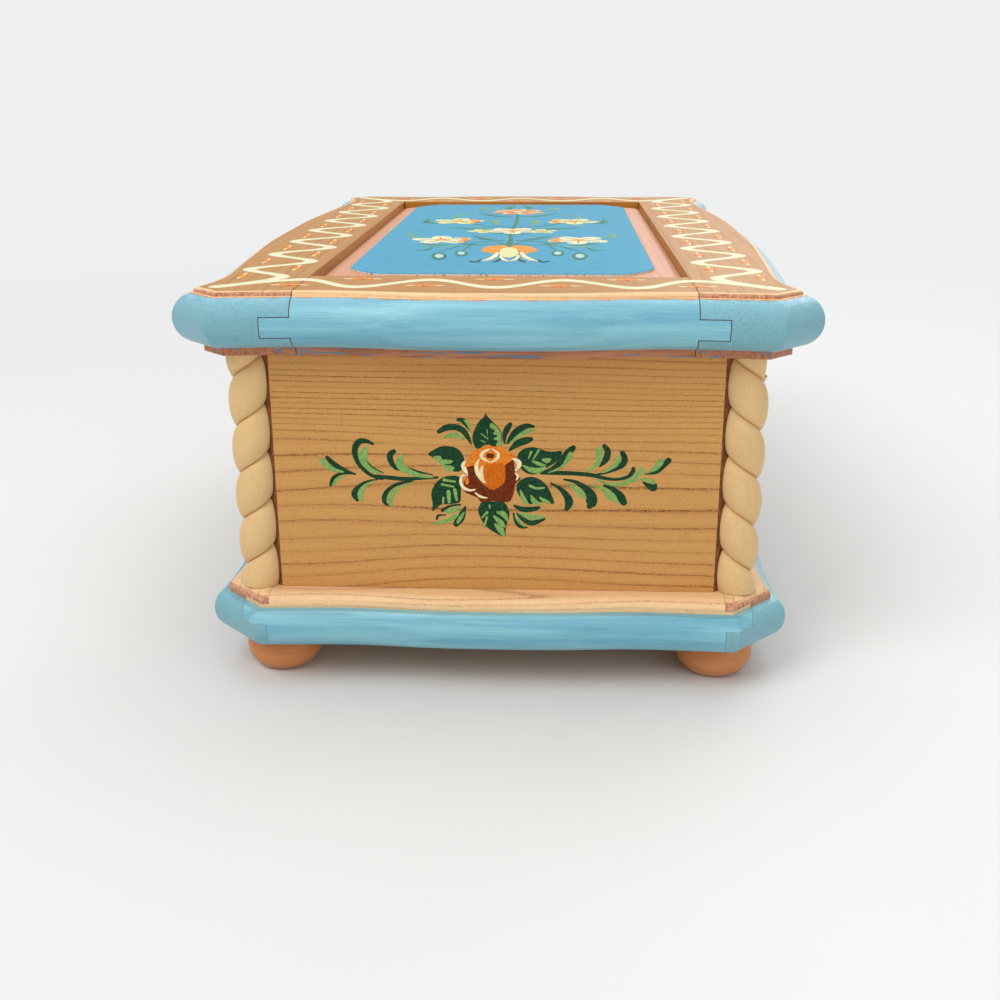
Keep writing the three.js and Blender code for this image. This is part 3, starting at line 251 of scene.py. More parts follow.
def paint(name, along, blunt, wood_low, wood_high, ragged):
    """Sky-blue paint brushed along a rail, worn to the wood at two heights; pitted where it faces the blunt axis."""
    shader = Shader(name, 0.34)
    brush = shader.stretched(rates(along, 0.05, 1.3), detail=4.0, roughness=0.7)
    broad = shader.stretched(rates(along, 0.011, 0.286), detail=2.0)
    cloud = shader.stretched((0.02, 0.02, 0.1), detail=2.0)
    ridges = shader.stretched(rates(along, 0.025, 2.86), detail=3.0, roughness=0.75)
    layers = [(brush, 0.3), (broad, 0.16), (ridges, 0.1)]
    ends = shader.facing(blunt, 0.35, 0.6) if blunt else 0.0
    sides = shader.math("SUBTRACT", 1.0, ends)
    tint = shader.math("ADD", shader.times(shader.step(broad, 0.34, 0.68), sides), shader.times(ends, 0.9))
    blue = shader.mix(tint, rgb(104, 169, 190), rgb(130, 192, 206))
    blue = shader.over(blue, rgb(62, 116, 142), shader.step(brush, 0.57, 0.72), shader.times(sides, 0.42))
    blue = shader.over(blue, rgb(168, 214, 224), shader.step(brush, 0.42, 0.28), shader.times(sides, 0.36))
    blue = shader.over(blue, rgb(52, 100, 124), shader.step(ridges, 0.66, 0.74), 0.4)
    blue = shader.over(blue, rgb(84, 150, 176), shader.step(cloud, 0.5, 0.8), 0.12)
    if blunt:
        pits = shader.stretched((1.2, 1.5, 3.4), detail=3.0, roughness=0.6)
        grit = shader.stretched((2.6, 2.6, 4.6), detail=2.0, roughness=0.7)
        blue = shader.over(blue, rgb(44, 92, 118), shader.times(shader.step(pits, 0.38, 0.27), ends), 0.7)
        blue = shader.over(blue, rgb(176, 216, 226), shader.times(shader.step(grit, 0.6, 0.78), ends), 0.35)
        layers += [(shader.times(pits, ends), 0.6), (shader.times(grit, ends), 0.14)]
    rough = shader.stretched((0.3, 0.3, 0.9), detail=4.0, roughness=0.7)

    def bare(height, side):
        """1 where the wood shows: below the height for side 1, above it for side -1."""
        lift = shader.math("SUBTRACT", shader.axes[2], height)
        torn = shader.math("MULTIPLY_ADD", shader.math("SUBTRACT", rough, 0.5), 1.6 * ragged, lift)
        return shader.step(shader.times(torn, side), 0.08, -0.08)

    worn = bare(wood_high, -1)
    if wood_low:
        worn = shader.math("MAXIMUM", bare(wood_low, 1), worn)
    under = shader.mix(shader.step(brush, 0.4, 0.65), rgb(196, 132, 88), rgb(142, 88, 56))
    roughness = shader.math("MULTIPLY_ADD", brush, 0.22, 0.24)
    return shader.finish(shader.mix(worn, blue, under), roughness, layers, Coat_Weight=0.2, Coat_Roughness=0.2)


def strip_paint(name, along):
    """The narrow strip under the lid: stained wood with what the blue brush left on it."""
    shader = Shader(name, 0.42)
    streak = shader.stretched(rates(along, 0.04, 0.9), detail=3.0, roughness=0.6)
    patch = shader.stretched(rates(along, 0.05, 0.3)[:2] + (0.8,), detail=4.0, roughness=0.6)
    stain = shader.mix(shader.step(streak, 0.4, 0.65), rgb(190, 122, 80), rgb(152, 92, 58))
    colour = shader.mix(shader.step(patch, 0.56, 0.66), stain, rgb(84, 128, 148))
    return shader.finish(colour, shader.math("MULTIPLY_ADD", streak, 0.2, 0.34), [(streak, 0.1), (patch, 0.12)])


def flat_paint(name, light, dark, rate, roughness=0.45, depth=0.04, share=(0.35, 0.65), gloss=0.1):
    """Artist's paint laid on with a brush: two close tones and a little relief."""
    shader = Shader(name, roughness)
    drag = shader.stretched((rate, rate, rate), detail=3.0, roughness=0.6)
    colour = shader.mix(shader.step(drag, *share), dark, light)
    sheen = shader.math("MULTIPLY_ADD", drag, 0.2, roughness - 0.1)
    return shader.finish(colour, sheen, [(drag, depth)], Specular_IOR_Level=gloss)


def velvet(name, pile, shade, tint):
    shader = Shader(name)
    tuft = shader.stretched((3.2, 3.2, 3.2), detail=3.0, roughness=0.7)
    swirl = shader.stretched((0.05, 0.05, 0.05), detail=3.0)
    tone = shader.mix(shader.step(swirl, 0.35, 0.65), shade, pile)
    tone = shader.over(shade, tone, shader.step(tuft, 0.35, 0.6), 0.5)
    layers = [(tuft, 0.25), (swirl, 0.3)]
    return shader.finish(tone, 0.92, layers, Sheen_Weight=0.6, Sheen_Roughness=0.35, Sheen_Tint=tint)


def metal(name, light, dark, roughness, brushing=(2.5, 2.5, 0.12), depth=0.012, drum=None):
    """Brushed, a little stained metal. drum is a lying cylinder's height and radius: what stands out of it is
    steel."""
    shader = Shader(name, roughness, 1.0)
    brushed = shader.stretched(brushing, detail=3.0, roughness=0.6)
    stain = shader.stretched((0.12, 0.12, 0.12), detail=4.0, roughness=0.6)
    tone = shader.over(light, dark, shader.step(stain, 0.45, 0.75), 0.35)
    if drum:
        axis_height, radius = drum
        lift = shader.math("SUBTRACT", shader.axes[2], axis_height)
        squares = shader.math("MULTIPLY_ADD", lift, lift, shader.times(shader.axes[1], shader.axes[1]))
        proud = shader.step(shader.math("SQRT", squares), radius + 0.06, radius + 0.16)
        tone = shader.mix(proud, tone, rgb(74, 74, 78))
    sheen = shader.math("MULTIPLY_ADD", stain, 0.15, roughness - 0.16)
    return shader.finish(tone, shader.math("MULTIPLY_ADD", brushed, 0.18, sheen), [(brushed, depth)])


def glass(name, tint):
    """A coated pane that hardly reflects, which its low IOR stands for, with a little dust."""
    shader = Shader(name, 0.03)
    dust = shader.stretched((0.6, 0.6, 0.6), detail=4.0)
    return shader.finish(tint, shader.times(shader.step(dust, 0.55, 0.8), 0.06), Transmission_Weight=1.0, IOR=1.12)


# ---------------------------------------------------------------- mesh kit
def soften(piece, degrees):
    mesh = piece.data
    mesh.polygons.foreach_set("use_smooth", [True] * len(mesh.polygons))
    mesh.set_sharp_from_angle(angle=math.radians(degrees))
    mesh.update()


def mesh_object(name, points, faces, materials, face_materials=None, smooth=30.0):
    """A mesh from points in millimetres, smooth except where faces meet at more than the given angle."""
    mesh = bpy.data.meshes.new(name)
    mesh.from_pydata([(x * MM, y * MM, z * MM) for x, y, z in points], [], faces)
    for material in materials:
        mesh.materials.append(material)
    if face_materials is not None:
        mesh.polygons.foreach_set("material_index", face_materials)
    piece = bpy.data.objects.new(name, mesh)
    scene.collection.objects.link(piece)
    soften(piece, smooth)
    return piece


def tidy_cuts(piece, degrees):
    """Joins the slivers that a cut leaves into flat faces, then shades flat faces flat."""
    sliver, flat = 0.002 * MM, math.radians(0.05)
    cut = bmesh.new()
    cut.from_mesh(piece.data)
    bmesh.ops.remove_doubles(cut, verts=cut.verts, dist=sliver)
    bmesh.ops.dissolve_degenerate(cut, edges=cut.edges, dist=sliver)
    bmesh.ops.dissolve_limit(
        cut, angle_limit=flat, use_dissolve_boundaries=False, verts=cut.verts, edges=cut.edges, delimit={"MATERIAL"}
    )
    many = [face for face in cut.faces if len(face.verts) > 4]
    bmesh.ops.triangulate(cut, faces=many, quad_method="BEAUTY", ngon_method="EAR_CLIP")
    cut.to_mesh(piece.data)
    cut.free()
    soften(piece, degrees)
    for face in piece.data.polygons:
        if max(abs(share) for share in face.normal) > 0.99999:
            face.use_smooth = False


def turn_outward(piece):
    shell = bmesh.new()
    shell.from_mesh(piece.data)
    bmesh.ops.recalc_face_normals(shell, faces=shell.faces)
    shell.to_mesh(piece.data)
    shell.free()


def box_object(name, x0, x1, y0, y1, z0, z1, materials=()):
    points = [(x, y, z) for x in sorted((x0, x1)) for y in sorted((y0, y1)) for z in sorted((z0, z1))]
    faces = [(0, 1, 3, 2), (4, 6, 7, 5), (0, 4, 5, 1), (2, 3, 7, 6), (0, 2, 6, 4), (1, 5, 7, 3)]
    return mesh_object(name, points, faces, materials)


def carve(piece, tool, operation):
    """Applies a boolean and removes its tool."""
    modifier = piece.modifiers.new("carve", "BOOLEAN")
    modifier.operation = operation
    modifier.object = tool
    modifier.solver = "MANIFOLD"
    bpy.context.view_layer.update()
    graph = bpy.context.evaluated_depsgraph_get()
    old, done = piece.data, bpy.data.meshes.new_from_object(piece.evaluated_get(graph))
    piece.modifiers.clear()
    piece.data = done
    bpy.data.meshes.remove(old)
    bpy.data.objects.remove(tool)


def cutter(materials, bare, *reach):
    """A box whose faces leave the bare wood of that index where they cut."""
    tool = box_object("cutter", *reach, materials)
    tool.data.polygons.foreach_set("material_index", [bare] * len(tool.data.polygons))
    return tool


def dress(piece, body, replaced=()):
    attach(piece, body)
    if replaced:
        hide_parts(*replaced)


def tube(rows, count, first=0):
    """Faces that close a run of equal rings of points into a solid: the sides, then the two ends."""
    faces = []
    for i in range(rows - 1):
        for j in range(count):
            a, b = first + i * count + j, first + i * count + (j + 1) % count
            faces.append((a, b, b + count, a + count))
    last = first + (rows - 1) * count
    return faces + [tuple(range(first, first + count))[::-1], tuple(range(last, last + count))]


def banded(kinds, count):
    """Material indices of a tube: one kind for each step between rings, then those of the two ends."""
    return [kind for kind in kinds[:-2] for _ in range(count)] + kinds[-2:]


def spline(knots, steps):
    """Points along a uniform Catmull-Rom spline through the knots."""
    last = len(knots) - 1
    points = []
    for i in range(steps + 1):
        place = last * i / steps
        k = min(int(place), last)
        t = place - k
        p0, p1, p2, p3 = (np.array(knots[min(max(k + near, 0), last)], float) for near in (-1, 0, 1, 2))
        v0, v1 = (p2 - p0) / 2, (p3 - p1) / 2
        points.append((2 * p1 - 2 * p2 + v0 + v1) * t**3 + (-3 * p1 + 3 * p2 - 2 * v0 - v1) * t**2 + v0 * t + p1)
    return points


# ---------------------------------------------------------------- moulded frames
SIDE_WAVE = [(0, 1, 0), (0.28, 0.7, 0), (0.6, 0, 0.45), (0.86, 0, 1), (1, 0, 0)]
END_WAVE = [(0, 1, 0), (0.26, 0.5, 0), (0.6, 0, 1), (1, 0, 0)]


def wave_edge(half_span, shares, bulge, dip, steps):
    half = [(place * half_span, up * bulge - down * dip) for place, up, down in shares]
    mirrored = [(-place, offset) for place, offset in half[1:]][::-1]
    return spline(mirrored + half, steps)


def serpentine(overhang, chamfer, side_bulge, side_dip, end_bulge, end_dip):
    """The wavy outline of a frame that is that much longer and wider than the walls."""
    side_steps, end_steps = 108, 60
    half_x, half_y = HALF_LENGTH + overhang / 2, HALF_WIDTH + overhang / 2
    side = wave_edge(half_x - chamfer, SIDE_WAVE, side_bulge, side_dip, side_steps)
    end = wave_edge(half_y - chamfer, END_WAVE, end_bulge, end_dip, end_steps)
    outline = [(half_x + p[1], p[0]) for p in end]
    outline += [(-p[0], half_y + p[1]) for p in side]
    outline += [(-half_x - p[1], -p[0]) for p in end]
    outline += [(p[0], -half_y - p[1]) for p in side]
    return outline


def drawn_in(outline, inset):
    """The outline moved inward; points that would fold over at a sharp corner are spread along its sides."""
    sharp, most_folded = math.cos(math.radians(20)), 30
    ring = np.array(outline, float)
    arriving = ring - np.roll(ring, 1, axis=0)
    leaving = np.roll(ring, -1, axis=0) - ring
    arriving /= np.linalg.norm(arriving, axis=1)[:, None]
    leaving /= np.linalg.norm(leaving, axis=1)[:, None]
    along = arriving + leaving
    along /= np.linalg.norm(along, axis=1)[:, None]
    inward = np.stack([-along[:, 1], along[:, 0]], axis=1)
    miter = inset / (along * arriving).sum(axis=1)
    made = ring + inward * miter[:, None]
    count = len(ring)
    for corner in np.nonzero((arriving * leaving).sum(axis=1) < sharp)[0]:
        for step, line in ((-1, leaving[corner]), (1, arriving[corner])):
            inside = np.array([-line[1], line[0]])
            folded, j = [], (corner + step) % count
            while (made[j] - made[corner]) @ inside < 0.05 and len(folded) < most_folded:
                folded.append(j)
                j = (j + step) % count
            for k, index in enumerate(folded, 1):
                made[index] = made[corner] + (made[j] - made[corner]) * k / (len(folded) + 1)
    return made


def arc(centre, radii, start, end, steps):
    turns = [start + (end - start) * i / steps for i in range(steps + 1)]
    return [(centre[0] - radii[0] * math.cos(a), centre[1] + radii[1] * math.sin(a)) for a in turns]


def frame_rails(label, outline, profile, kinds, levels, inner, sides, ends, bare, body, seam=0.1):
    """Sweeps the outline up through the profile's [inset, height] pairs, and cuts that blank into grooved long
    rails and tenoned end rails, as the solids are."""
    low, high, groove_low, groove_high = levels
    inner_x, inner_y = inner
    points = [(x, y, low + height) for inset, height in profile for x, y in drawn_in(outline, inset)]
    faces, indices = tube(len(profile), len(outline)), banded(kinds, len(outline))
    reach, over, depth = 300.0, 2.0, 8.7
    for side, sign in (("front", -1), ("back", 1), ("left", -1), ("right", 1)):
        long_rail = side in ("front", "back")
        look = (sides if long_rail else ends), bare
        rail = mesh_object(f"{label}_{side}_rail_dressed", points, faces, look[0], indices)
        if long_rail:
            edge = sign * inner_y
            region = cutter(*look, -reach, reach, edge, sign * reach, low - over, high + over)
            carve(rail, region, "INTERSECT")
            groove = cutter(*look, -reach, reach, edge - sign * over, edge + sign * depth, groove_low, groove_high)
        else:
            edge = sign * inner_x
            shoulder, tenon = inner_y - seam, inner_y + depth - seam
            region = cutter(*look, edge, sign * reach, -shoulder, shoulder, low - over, high + over)
            tongue = cutter(*look, edge, sign * reach, -tenon, tenon, groove_low + seam, groove_high - seam)
            carve(region, tongue, "UNION")
            carve(rail, region, "INTERSECT")
            groove = cutter(*look, edge - sign * over, edge + sign * depth, -reach, reach, groove_low, groove_high)
        carve(rail, groove, "DIFFERENCE")
        tidy_cuts(rail, 35)
        dress(rail, body, [f"{label}_{side}_rail"])


# ---------------------------------------------------------------- materials
HONEY = rgb(201, 150, 86), rgb(178, 117, 62), rgb(112, 62, 28)
RUST = rgb(150, 92, 58), rgb(96, 52, 30)
TAN = rgb(176, 122, 48), rgb(155, 98, 36), rgb(102, 57, 20)
CREAM_PINK = rgb(238, 200, 152), rgb(216, 156, 108), rgb(160, 98, 60)
ROSY = rgb(202, 146, 111), rgb(188, 126, 92), rgb(148, 90, 62)
BARE = rgb(214, 176, 130), rgb(194, 150, 104), rgb(140, 96, 62)
PALE = rgb(219, 184, 130), rgb(208, 168, 112), rgb(150, 98, 56)
RUDDY = rgb(202, 134, 82), rgb(184, 112, 66), rgb(134, 74, 42)
END_GRAIN = rgb(222, 162, 126), rgb(170, 106, 76)
end_wood = wood("wall_wood_end", "y", "z", *HONEY, spacing=4.2, wobble=4.0, corner=RUST, crowd=(78, 106, 7.0))
side_wood = wood(
    "wall_wood_side", "x", "z", *HONEY, spacing=4.4, wobble=4.0, seed=3.3, corner=RUST, crowd=(36, 62, 5.0)
)
tan_side = wood("lid_wood_side", "x", "y", *TAN, spacing=4.2, contrast=0.6, seed=1.7, coat=0.05, end=END_GRAIN)
tan_end = wood("lid_wood_end", "y", "x", *TAN, spacing=4.0, contrast=0.6, seed=5.1, coat=0.05)
bead_side = wood("bead_wood_side", "x", "y", *CREAM_PINK, spacing=3.8, seed=2.2, contrast=0.6, end=END_GRAIN)
bead_end = wood("bead_wood_end", "y", "z", *CREAM_PINK, spacing=1.7, wobble=5.0, seed=4.6, contrast=0.75)
bevel_wood = wood("bevel_wood", "x", "y", *ROSY, spacing=3.2, contrast=0.5, seed=7.9, coat=0.05, end=END_GRAIN)
plain_side = wood("bare_wood_side", "x", "y", *BARE, roughness=0.62, coat=0.0)
plain_cross = wood("bare_wood_cross", "y", "x", *BARE, roughness=0.62, coat=0.0)
column_wood = wood(
    "column_wood", "z", "x", *PALE, spacing=7.0, wobble=2.0, contrast=0.2, roughness=0.48, pore_depth=0.03, speckle=0.3
)
foot_wood = wood("foot_wood", "x", "z", *RUDDY, spacing=5.0, contrast=0.35, speckle=0.15, roughness=0.36)

LID_WORN, BASE_WORN = (LID_BOTTOM + 2.4, LID_BOTTOM + 17.3), (None, BASE_BOTTOM + 12.6)
lid_blue_side = paint("lid_blue_side", "x", "x", *LID_WORN, 0.6)
lid_blue_end = paint("lid_blue_end", "y", None, *LID_WORN, 0.8)
base_blue_side = paint("base_blue_side", "x", "x", *BASE_WORN, 0.1)
base_blue_end = paint("base_blue_end", "y", None, *BASE_WORN, 0.1)
strip_side, strip_end = strip_paint("lid_strip_side", "x"), strip_paint("lid_strip_end", "y")
field_blue = flat_paint("field_blue", rgb(82, 158, 187), rgb(72, 148, 179), 0.25, gloss=0.03)
field_edge = flat_paint(
    "field_edge", rgb(232, 226, 212), rgb(112, 96, 80), 1.1, roughness=0.7, depth=0.3, share=(0.36, 0.44)
)
PAINTS = {
    key: flat_paint(name, rgb(*light), rgb(*dark), rate) for key, name, light, dark, rate in (
        ("D", "leaf_dark", (30, 74, 44), (18, 50, 30), 1.4),
        ("L", "leaf_light", (140, 176, 102), (114, 152, 78), 1.4),
        ("C", "cream_paint", (246, 230, 190), (230, 206, 156), 1.4),
        ("O", "orange_paint", (230, 134, 44), (214, 114, 28), 1.0),
        ("A", "marigold_paint", (234, 148, 38), (220, 128, 24), 1.0),
        ("P", "amber_paint", (212, 110, 24), (190, 92, 16), 1.0),
        ("B", "brown_paint", (118, 50, 18), (90, 34, 10), 1.0),
        ("V", "wave_paint", (228, 226, 190), (214, 212, 172), 1.2),
        ("E", "peach_paint", (214, 158, 104), (196, 138, 86), 1.2),
        ("G", "stem_green", (48, 124, 96), (34, 98, 74), 1.4),
        ("K", "haze_green", (104, 158, 128), (84, 140, 112), 1.4),
        ("W", "mint_paint", (178, 216, 214), (150, 200, 204), 1.4),
        ("Y", "straw_paint", (226, 222, 160), (206, 204, 140), 1.4),
    )
}
BRASS = rgb(214, 178, 104), rgb(142, 104, 52)
CYLINDER_AXIS, DRUM_RADIUS = 47.25, 10.0
brass = metal("brass", *BRASS, 0.34)
pinned_brass = metal("pinned_brass", *BRASS, 0.34, drum=(CYLINDER_AXIS, DRUM_RADIUS))
brass_screw = metal("brass_screw", rgb(206, 168, 92), rgb(126, 92, 46), 0.4)
steel = metal("steel", rgb(178, 180, 184), rgb(112, 110, 108), 0.4)
gilt = metal("gilt_casting", rgb(206, 178, 112), rgb(134, 106, 58), 0.46, brushing=(1.4, 1.4, 1.4), depth=0.05)
red_velvet = velvet("red_velvet", rgb(142, 32, 44), rgb(84, 14, 24), rgb(214, 120, 128))
clear_glass = glass("clear_glass", rgb(244, 249, 247))


# ---------------------------------------------------------------- the two frames
def lid_frame():
    torus_steps, fillet_steps = 24, 6
    torus = arc((6.5, 10.1), (6.5, 7.5), -0.465 * math.pi, 0.435 * math.pi, torus_steps)
    fillet = arc((7.1, 17.8), (1.2, 1.2), 0, math.pi / 2, fillet_steps)
    profile = [(7.5, 0), (7.5, 2.6)] + torus + [(5.9, 17.6)] + fillet
    blue, bead, top, under, strip = range(5)
    kinds = [strip] * 2 + [blue] * torus_steps + [bead] * (2 + fillet_steps) + [under, top]
    frame_rails(
        "lid", serpentine(31.5, 13.0, side_bulge=1.6, side_dip=4.1, end_bulge=1.4, end_dip=2.6), profile, kinds,
        (LID_BOTTOM, LID_TOP, LID_BOTTOM + 6.2, LID_BOTTOM + 12.5), LID_INNER,
        [lid_blue_side, bead_side, tan_side, plain_side, strip_side],
        [lid_blue_end, bead_end, tan_end, plain_side, strip_end], top, "lid", 0.25,
    )


def base_frame():
    torus_steps, bead_steps = 20, 8
    torus = arc((5.0, 6.8), (5.0, 6.8), -math.pi / 2, 0.3125 * math.pi, torus_steps)
    width, height, rounding, fillet = 4.6, BASE_TOP - BASE_BOTTOM, 3.2, 4.2
    bead_arc = arc((width + rounding, height - rounding), (rounding, rounding), 0, math.pi / 2, bead_steps)
    profile = torus + [(width, height - fillet)] + bead_arc
    blue, bead, under = range(3)
    kinds = [blue] * (torus_steps + 1) + [bead] * (1 + bead_steps) + [under, bead]
    frame_rails(
        "base", serpentine(25, 16.6, side_bulge=0.8, side_dip=1.5, end_bulge=0.6, end_dip=1.2), profile, kinds,
        (BASE_BOTTOM, BASE_TOP, BASE_TOP - 8.1, BASE_TOP - 2.9), BASE_INNER,
        [base_blue_side, bead_side, plain_side], [base_blue_end, bead_end, plain_side], under, "case",
    )


# ---------------------------------------------------------------- raised panel
def lid_panel():
    """The tongued board: a wide bevel with a swelling, a worn painted edge and the blue field."""
    inner_x, inner_y = LID_INNER
    seam, tongue_depth, crown = 0.1, 8.4, 0.45
    brow = FIELD_TOP - 0.8
    foot = brow - 2.2
    low, tongue_top = LID_BOTTOM + 6.3, LID_BOTTOM + 12.4
    field_x, field_y = inner_x - 9.0, inner_y - 8.8
    deep, wide, scoop_steps, bevel_steps = 14.5, 11.5, 20, 8
    quarter = [(field_x, field_y - wide)]
    for i in range(1, scoop_steps + 1):
        turn = math.pi / 2 * i / scoop_steps
        round_x, round_y, flat = 1 - math.cos(turn), math.sin(turn), (1 - math.cos(2 * turn)) / 2
        quarter.append((field_x - deep * (round_x + flat) / 2, field_y - wide + wide * (round_y + flat) / 2))
    around = [(p, 1, 1) for p in quarter] + [(p, -1, 1) for p in quarter[::-1]]
    around += [(p, -1, -1) for p in quarter] + [(p, 1, -1) for p in quarter[::-1]]

    def ring(share, z):
        """The field's outline at that height, taken that share of the way to the frame."""
        made = []
        for (x, y), sx, sy in around:
            edge_x, edge_y = inner_x - seam, y * (inner_y - seam) / field_y
            made.append((sx * (x + (edge_x - x) * share), sy * (y + (edge_y - y) * share), z))
        return made

    rings = [ring(1, low), ring(1, foot)]
    for i in range(1, bevel_steps + 1):
        share = i / bevel_steps
        rings.append(ring(1 - share, foot + (brow - foot) * share + crown * math.sin(math.pi * share)))
    rings += [ring(0.004, FIELD_TOP - 0.25), ring(-0.02, FIELD_TOP)]
    bevel, edge, field = range(3)
    kinds = [bevel] * (1 + bevel_steps) + [edge, field] + [bevel, field]
    points, faces, indices = sum(rings, []), tube(len(rings), len(around)), banded(kinds, len(around))
    panel = mesh_object("lid_panel_dressed", points, faces, [bevel_wood, field_edge, field_blue], indices)
    reach_x, reach_y = inner_x + tongue_depth, inner_y + tongue_depth
    carve(panel, box_object("tongue", -reach_x, reach_x, -reach_y, reach_y, low, tongue_top), "UNION")
    tidy_cuts(panel, 24)
    dress(panel, "lid", ["lid_panel"])


# ---------------------------------------------------------------- twisted columns and feet
def twisted_column(corner, sx, sy):
    """A barley twist in a corner of the walls, relieved at the back where the open lid's rail passes it."""
    radius, crease, set_out = 6.95, 4.3, 1.55
    pitch, lead, crease_height, arc_share = 15.2, 19.5, 5.4, 0.7
    sides, per_turn = 36, 36
    hand, facing = -sx * sy, math.atan2(sy, sx)
    seat, seam, reach, swing_gap, swing_depth = 11.3, 0.1, 9, 0.4, 7.5
    inset = seat / 2 - seam - set_out * math.sqrt(0.5)
    turns = math.ceil((WALL_TOP - WALL_BOTTOM) / pitch) + 2
    rows = []
    for k in range(-per_turn, turns * per_turn + 1):
        share = (k % per_turn) / per_turn
        lobe = crease + (radius - crease) * math.sqrt(max(0.0, 1 - (2 * share - 1) ** 2))
        row = []
        for j in range(sides + 1):
            angle = 2 * math.pi * arc_share * (j / sides - 0.5)
            rise = lead * (angle + math.pi / 4) / (2 * math.pi)
            z = WALL_BOTTOM + crease_height + k / per_turn * pitch + rise
            row.append((lobe * math.cos(angle), hand * lobe * math.sin(angle), z))
        rows.append(row if hand > 0 else row[::-1])
    column = mesh_object(f"column_{corner}_dressed", sum(rows, []), tube(len(rows), sides + 1), [column_wood])
    carve(column, box_object("region", -set_out, reach, -reach, reach, WALL_BOTTOM, WALL_TOP), "INTERSECT")
    place = Vector((sx * (HALF_LENGTH - inset), sy * (HALF_WIDTH - inset), 0)) * MM
    column.data.transform(Matrix.Translation(place) @ Matrix.Rotation(facing, 4, "Z"))
    if sy > 0:
        behind = HALF_WIDTH + swing_gap, 90
        swing = box_object("swing", -150, 150, *behind, WALL_TOP - swing_depth, WALL_TOP + 2)
        carve(column, swing, "DIFFERENCE")
    tidy_cuts(column, 38)
    dress(column, "case", [f"column_{corner}"])


def lathe(name, profile, sides, centre, material):
    """Turns [radius, height] pairs about a vertical axis; the first and last lie on the axis."""
    rings = profile[1:-1]
    points, faces = [(0, 0, profile[0][1])], []
    for radius, height in rings:
        for j in range(sides):
            angle = 2 * math.pi * j / sides
            points.append((radius * math.cos(angle), radius * math.sin(angle), height))
    points.append((0, 0, profile[-1][1]))
    top = len(points) - 1
    for j in range(sides):
        k = (j + 1) % sides
        faces.append((0, 1 + k, 1 + j))
        for base in range(1, top - sides, sides):
            faces.append((base + j, base + k, base + sides + k, base + sides + j))
        faces.append((top - sides + j, top - sides + k, top))
    points = [(x + centre[0], y + centre[1], z + centre[2]) for x, y, z in points]
    return mesh_object(name, points, faces, [material], smooth=35)


def bun_foot(corner, sx, sy):
    top, width, sole, neck, steps = 13.4, 24.5, 15, 17, 20
    low, high = math.asin(sole / width), math.asin(neck / width)
    span = math.cos(low) + math.cos(high)
    profile = [(0, 0), (7.0, 0), (7.5, 0.3)]
    for i in range(1, steps):
        angle = low + (math.pi - high - low) * i / steps
        profile.append((width / 2 * math.sin(angle), top * (math.cos(low) - math.cos(angle)) / span))
    profile += [(neck / 2, top), (0, top)]
    inset = 9
    centre = (sx * (HALF_LENGTH - inset), sy * (HALF_WIDTH - inset), 0)
    dress(lathe(f"foot_{corner}_dressed", profile, 64, centre, foot_wood), "case", [f"foot_{corner}"])


lid_frame()
base_frame()
lid_panel()
for corner, sx, sy in (("front_left", -1, -1), ("front_right", 1, -1), ("back_left", -1, 1), ("back_right", 1, 1)):
    twisted_column(corner, sx, sy)
    bun_foot(corner, sx, sy)


# ---------------------------------------------------------------- brushwork
class Brushwork:
    """Strokes and shapes of paint in low relief on a plane; together they make one piece."""

    def __init__(self, lay):
        self.lay = lay
        self.points, self.faces, self.kinds, self.used = [], [], [], []

    def body(self, rings, colour):
        """Closes a run of equal rings into one solid."""
        if colour not in self.used:
            self.used.append(colour)
        made = tube(len(rings), len(rings[0]), len(self.points))
        self.points += [self.lay(*p) for ring in rings for p in ring]
        self.faces += made
        self.kinds += [self.used.index(colour)] * len(made)

    def ribbon(self, colour, layer, run):
        """A stroke along [x, y, half width] points, with round ends."""
        edge = 0.04 + 0.03 * layer
        run = [(x, y, max(half, 0.1)) for x, y, half in run]
        path = np.array([p[:2] for p in run])
        along = np.gradient(path, axis=0)
        along /= np.maximum(np.linalg.norm(along, axis=1), 1e-6)[:, None]
        start, finish = run[0][2], run[-1][2]
        stations = [(path[0] - along[0] * start * b, along[0], start * s) for b, s in ((0.9, 0.4), (0.55, 0.8))]
        stations += [(path[i], along[i], run[i][2]) for i in range(len(run))]
        stations += [(path[-1] + along[-1] * finish * b, along[-1], finish * s) for b, s in ((0.55, 0.8), (0.9, 0.4))]
        rings = []
        for (x, y), (dx, dy), half in stations:
            section = [(-1, -0.05), (-0.94, edge), (0, edge + min(0.05, 0.1 * half)), (0.94, edge), (1, -0.05)]
            rings.append([(x - dy * half * s, y + dx * half * s, h) for s, h in section])
        self.body(rings, colour)

    def stroke(self, colour, layer, knots):
        self.ribbon(colour, layer, spline(knots, 5 * (len(knots) - 1)))

    def shape(self, colour, layer, knots):
        """A flat patch with a smooth outline through the knots."""
        steps, count = 3, len(knots)
        outline = spline(knots[-2:] + knots + knots[:3], (count + 4) * steps)[2 * steps:(count + 2) * steps]
        self.body([[(x, y, h) for x, y in outline] for h in (-0.05, 0.04 + 0.03 * layer)], colour)

    def finish(self, name, body):
        piece = mesh_object(name, self.points, self.faces, [PAINTS[key] for key in self.used], self.kinds, 40)
        turn_outward(piece)
        dress(piece, body)


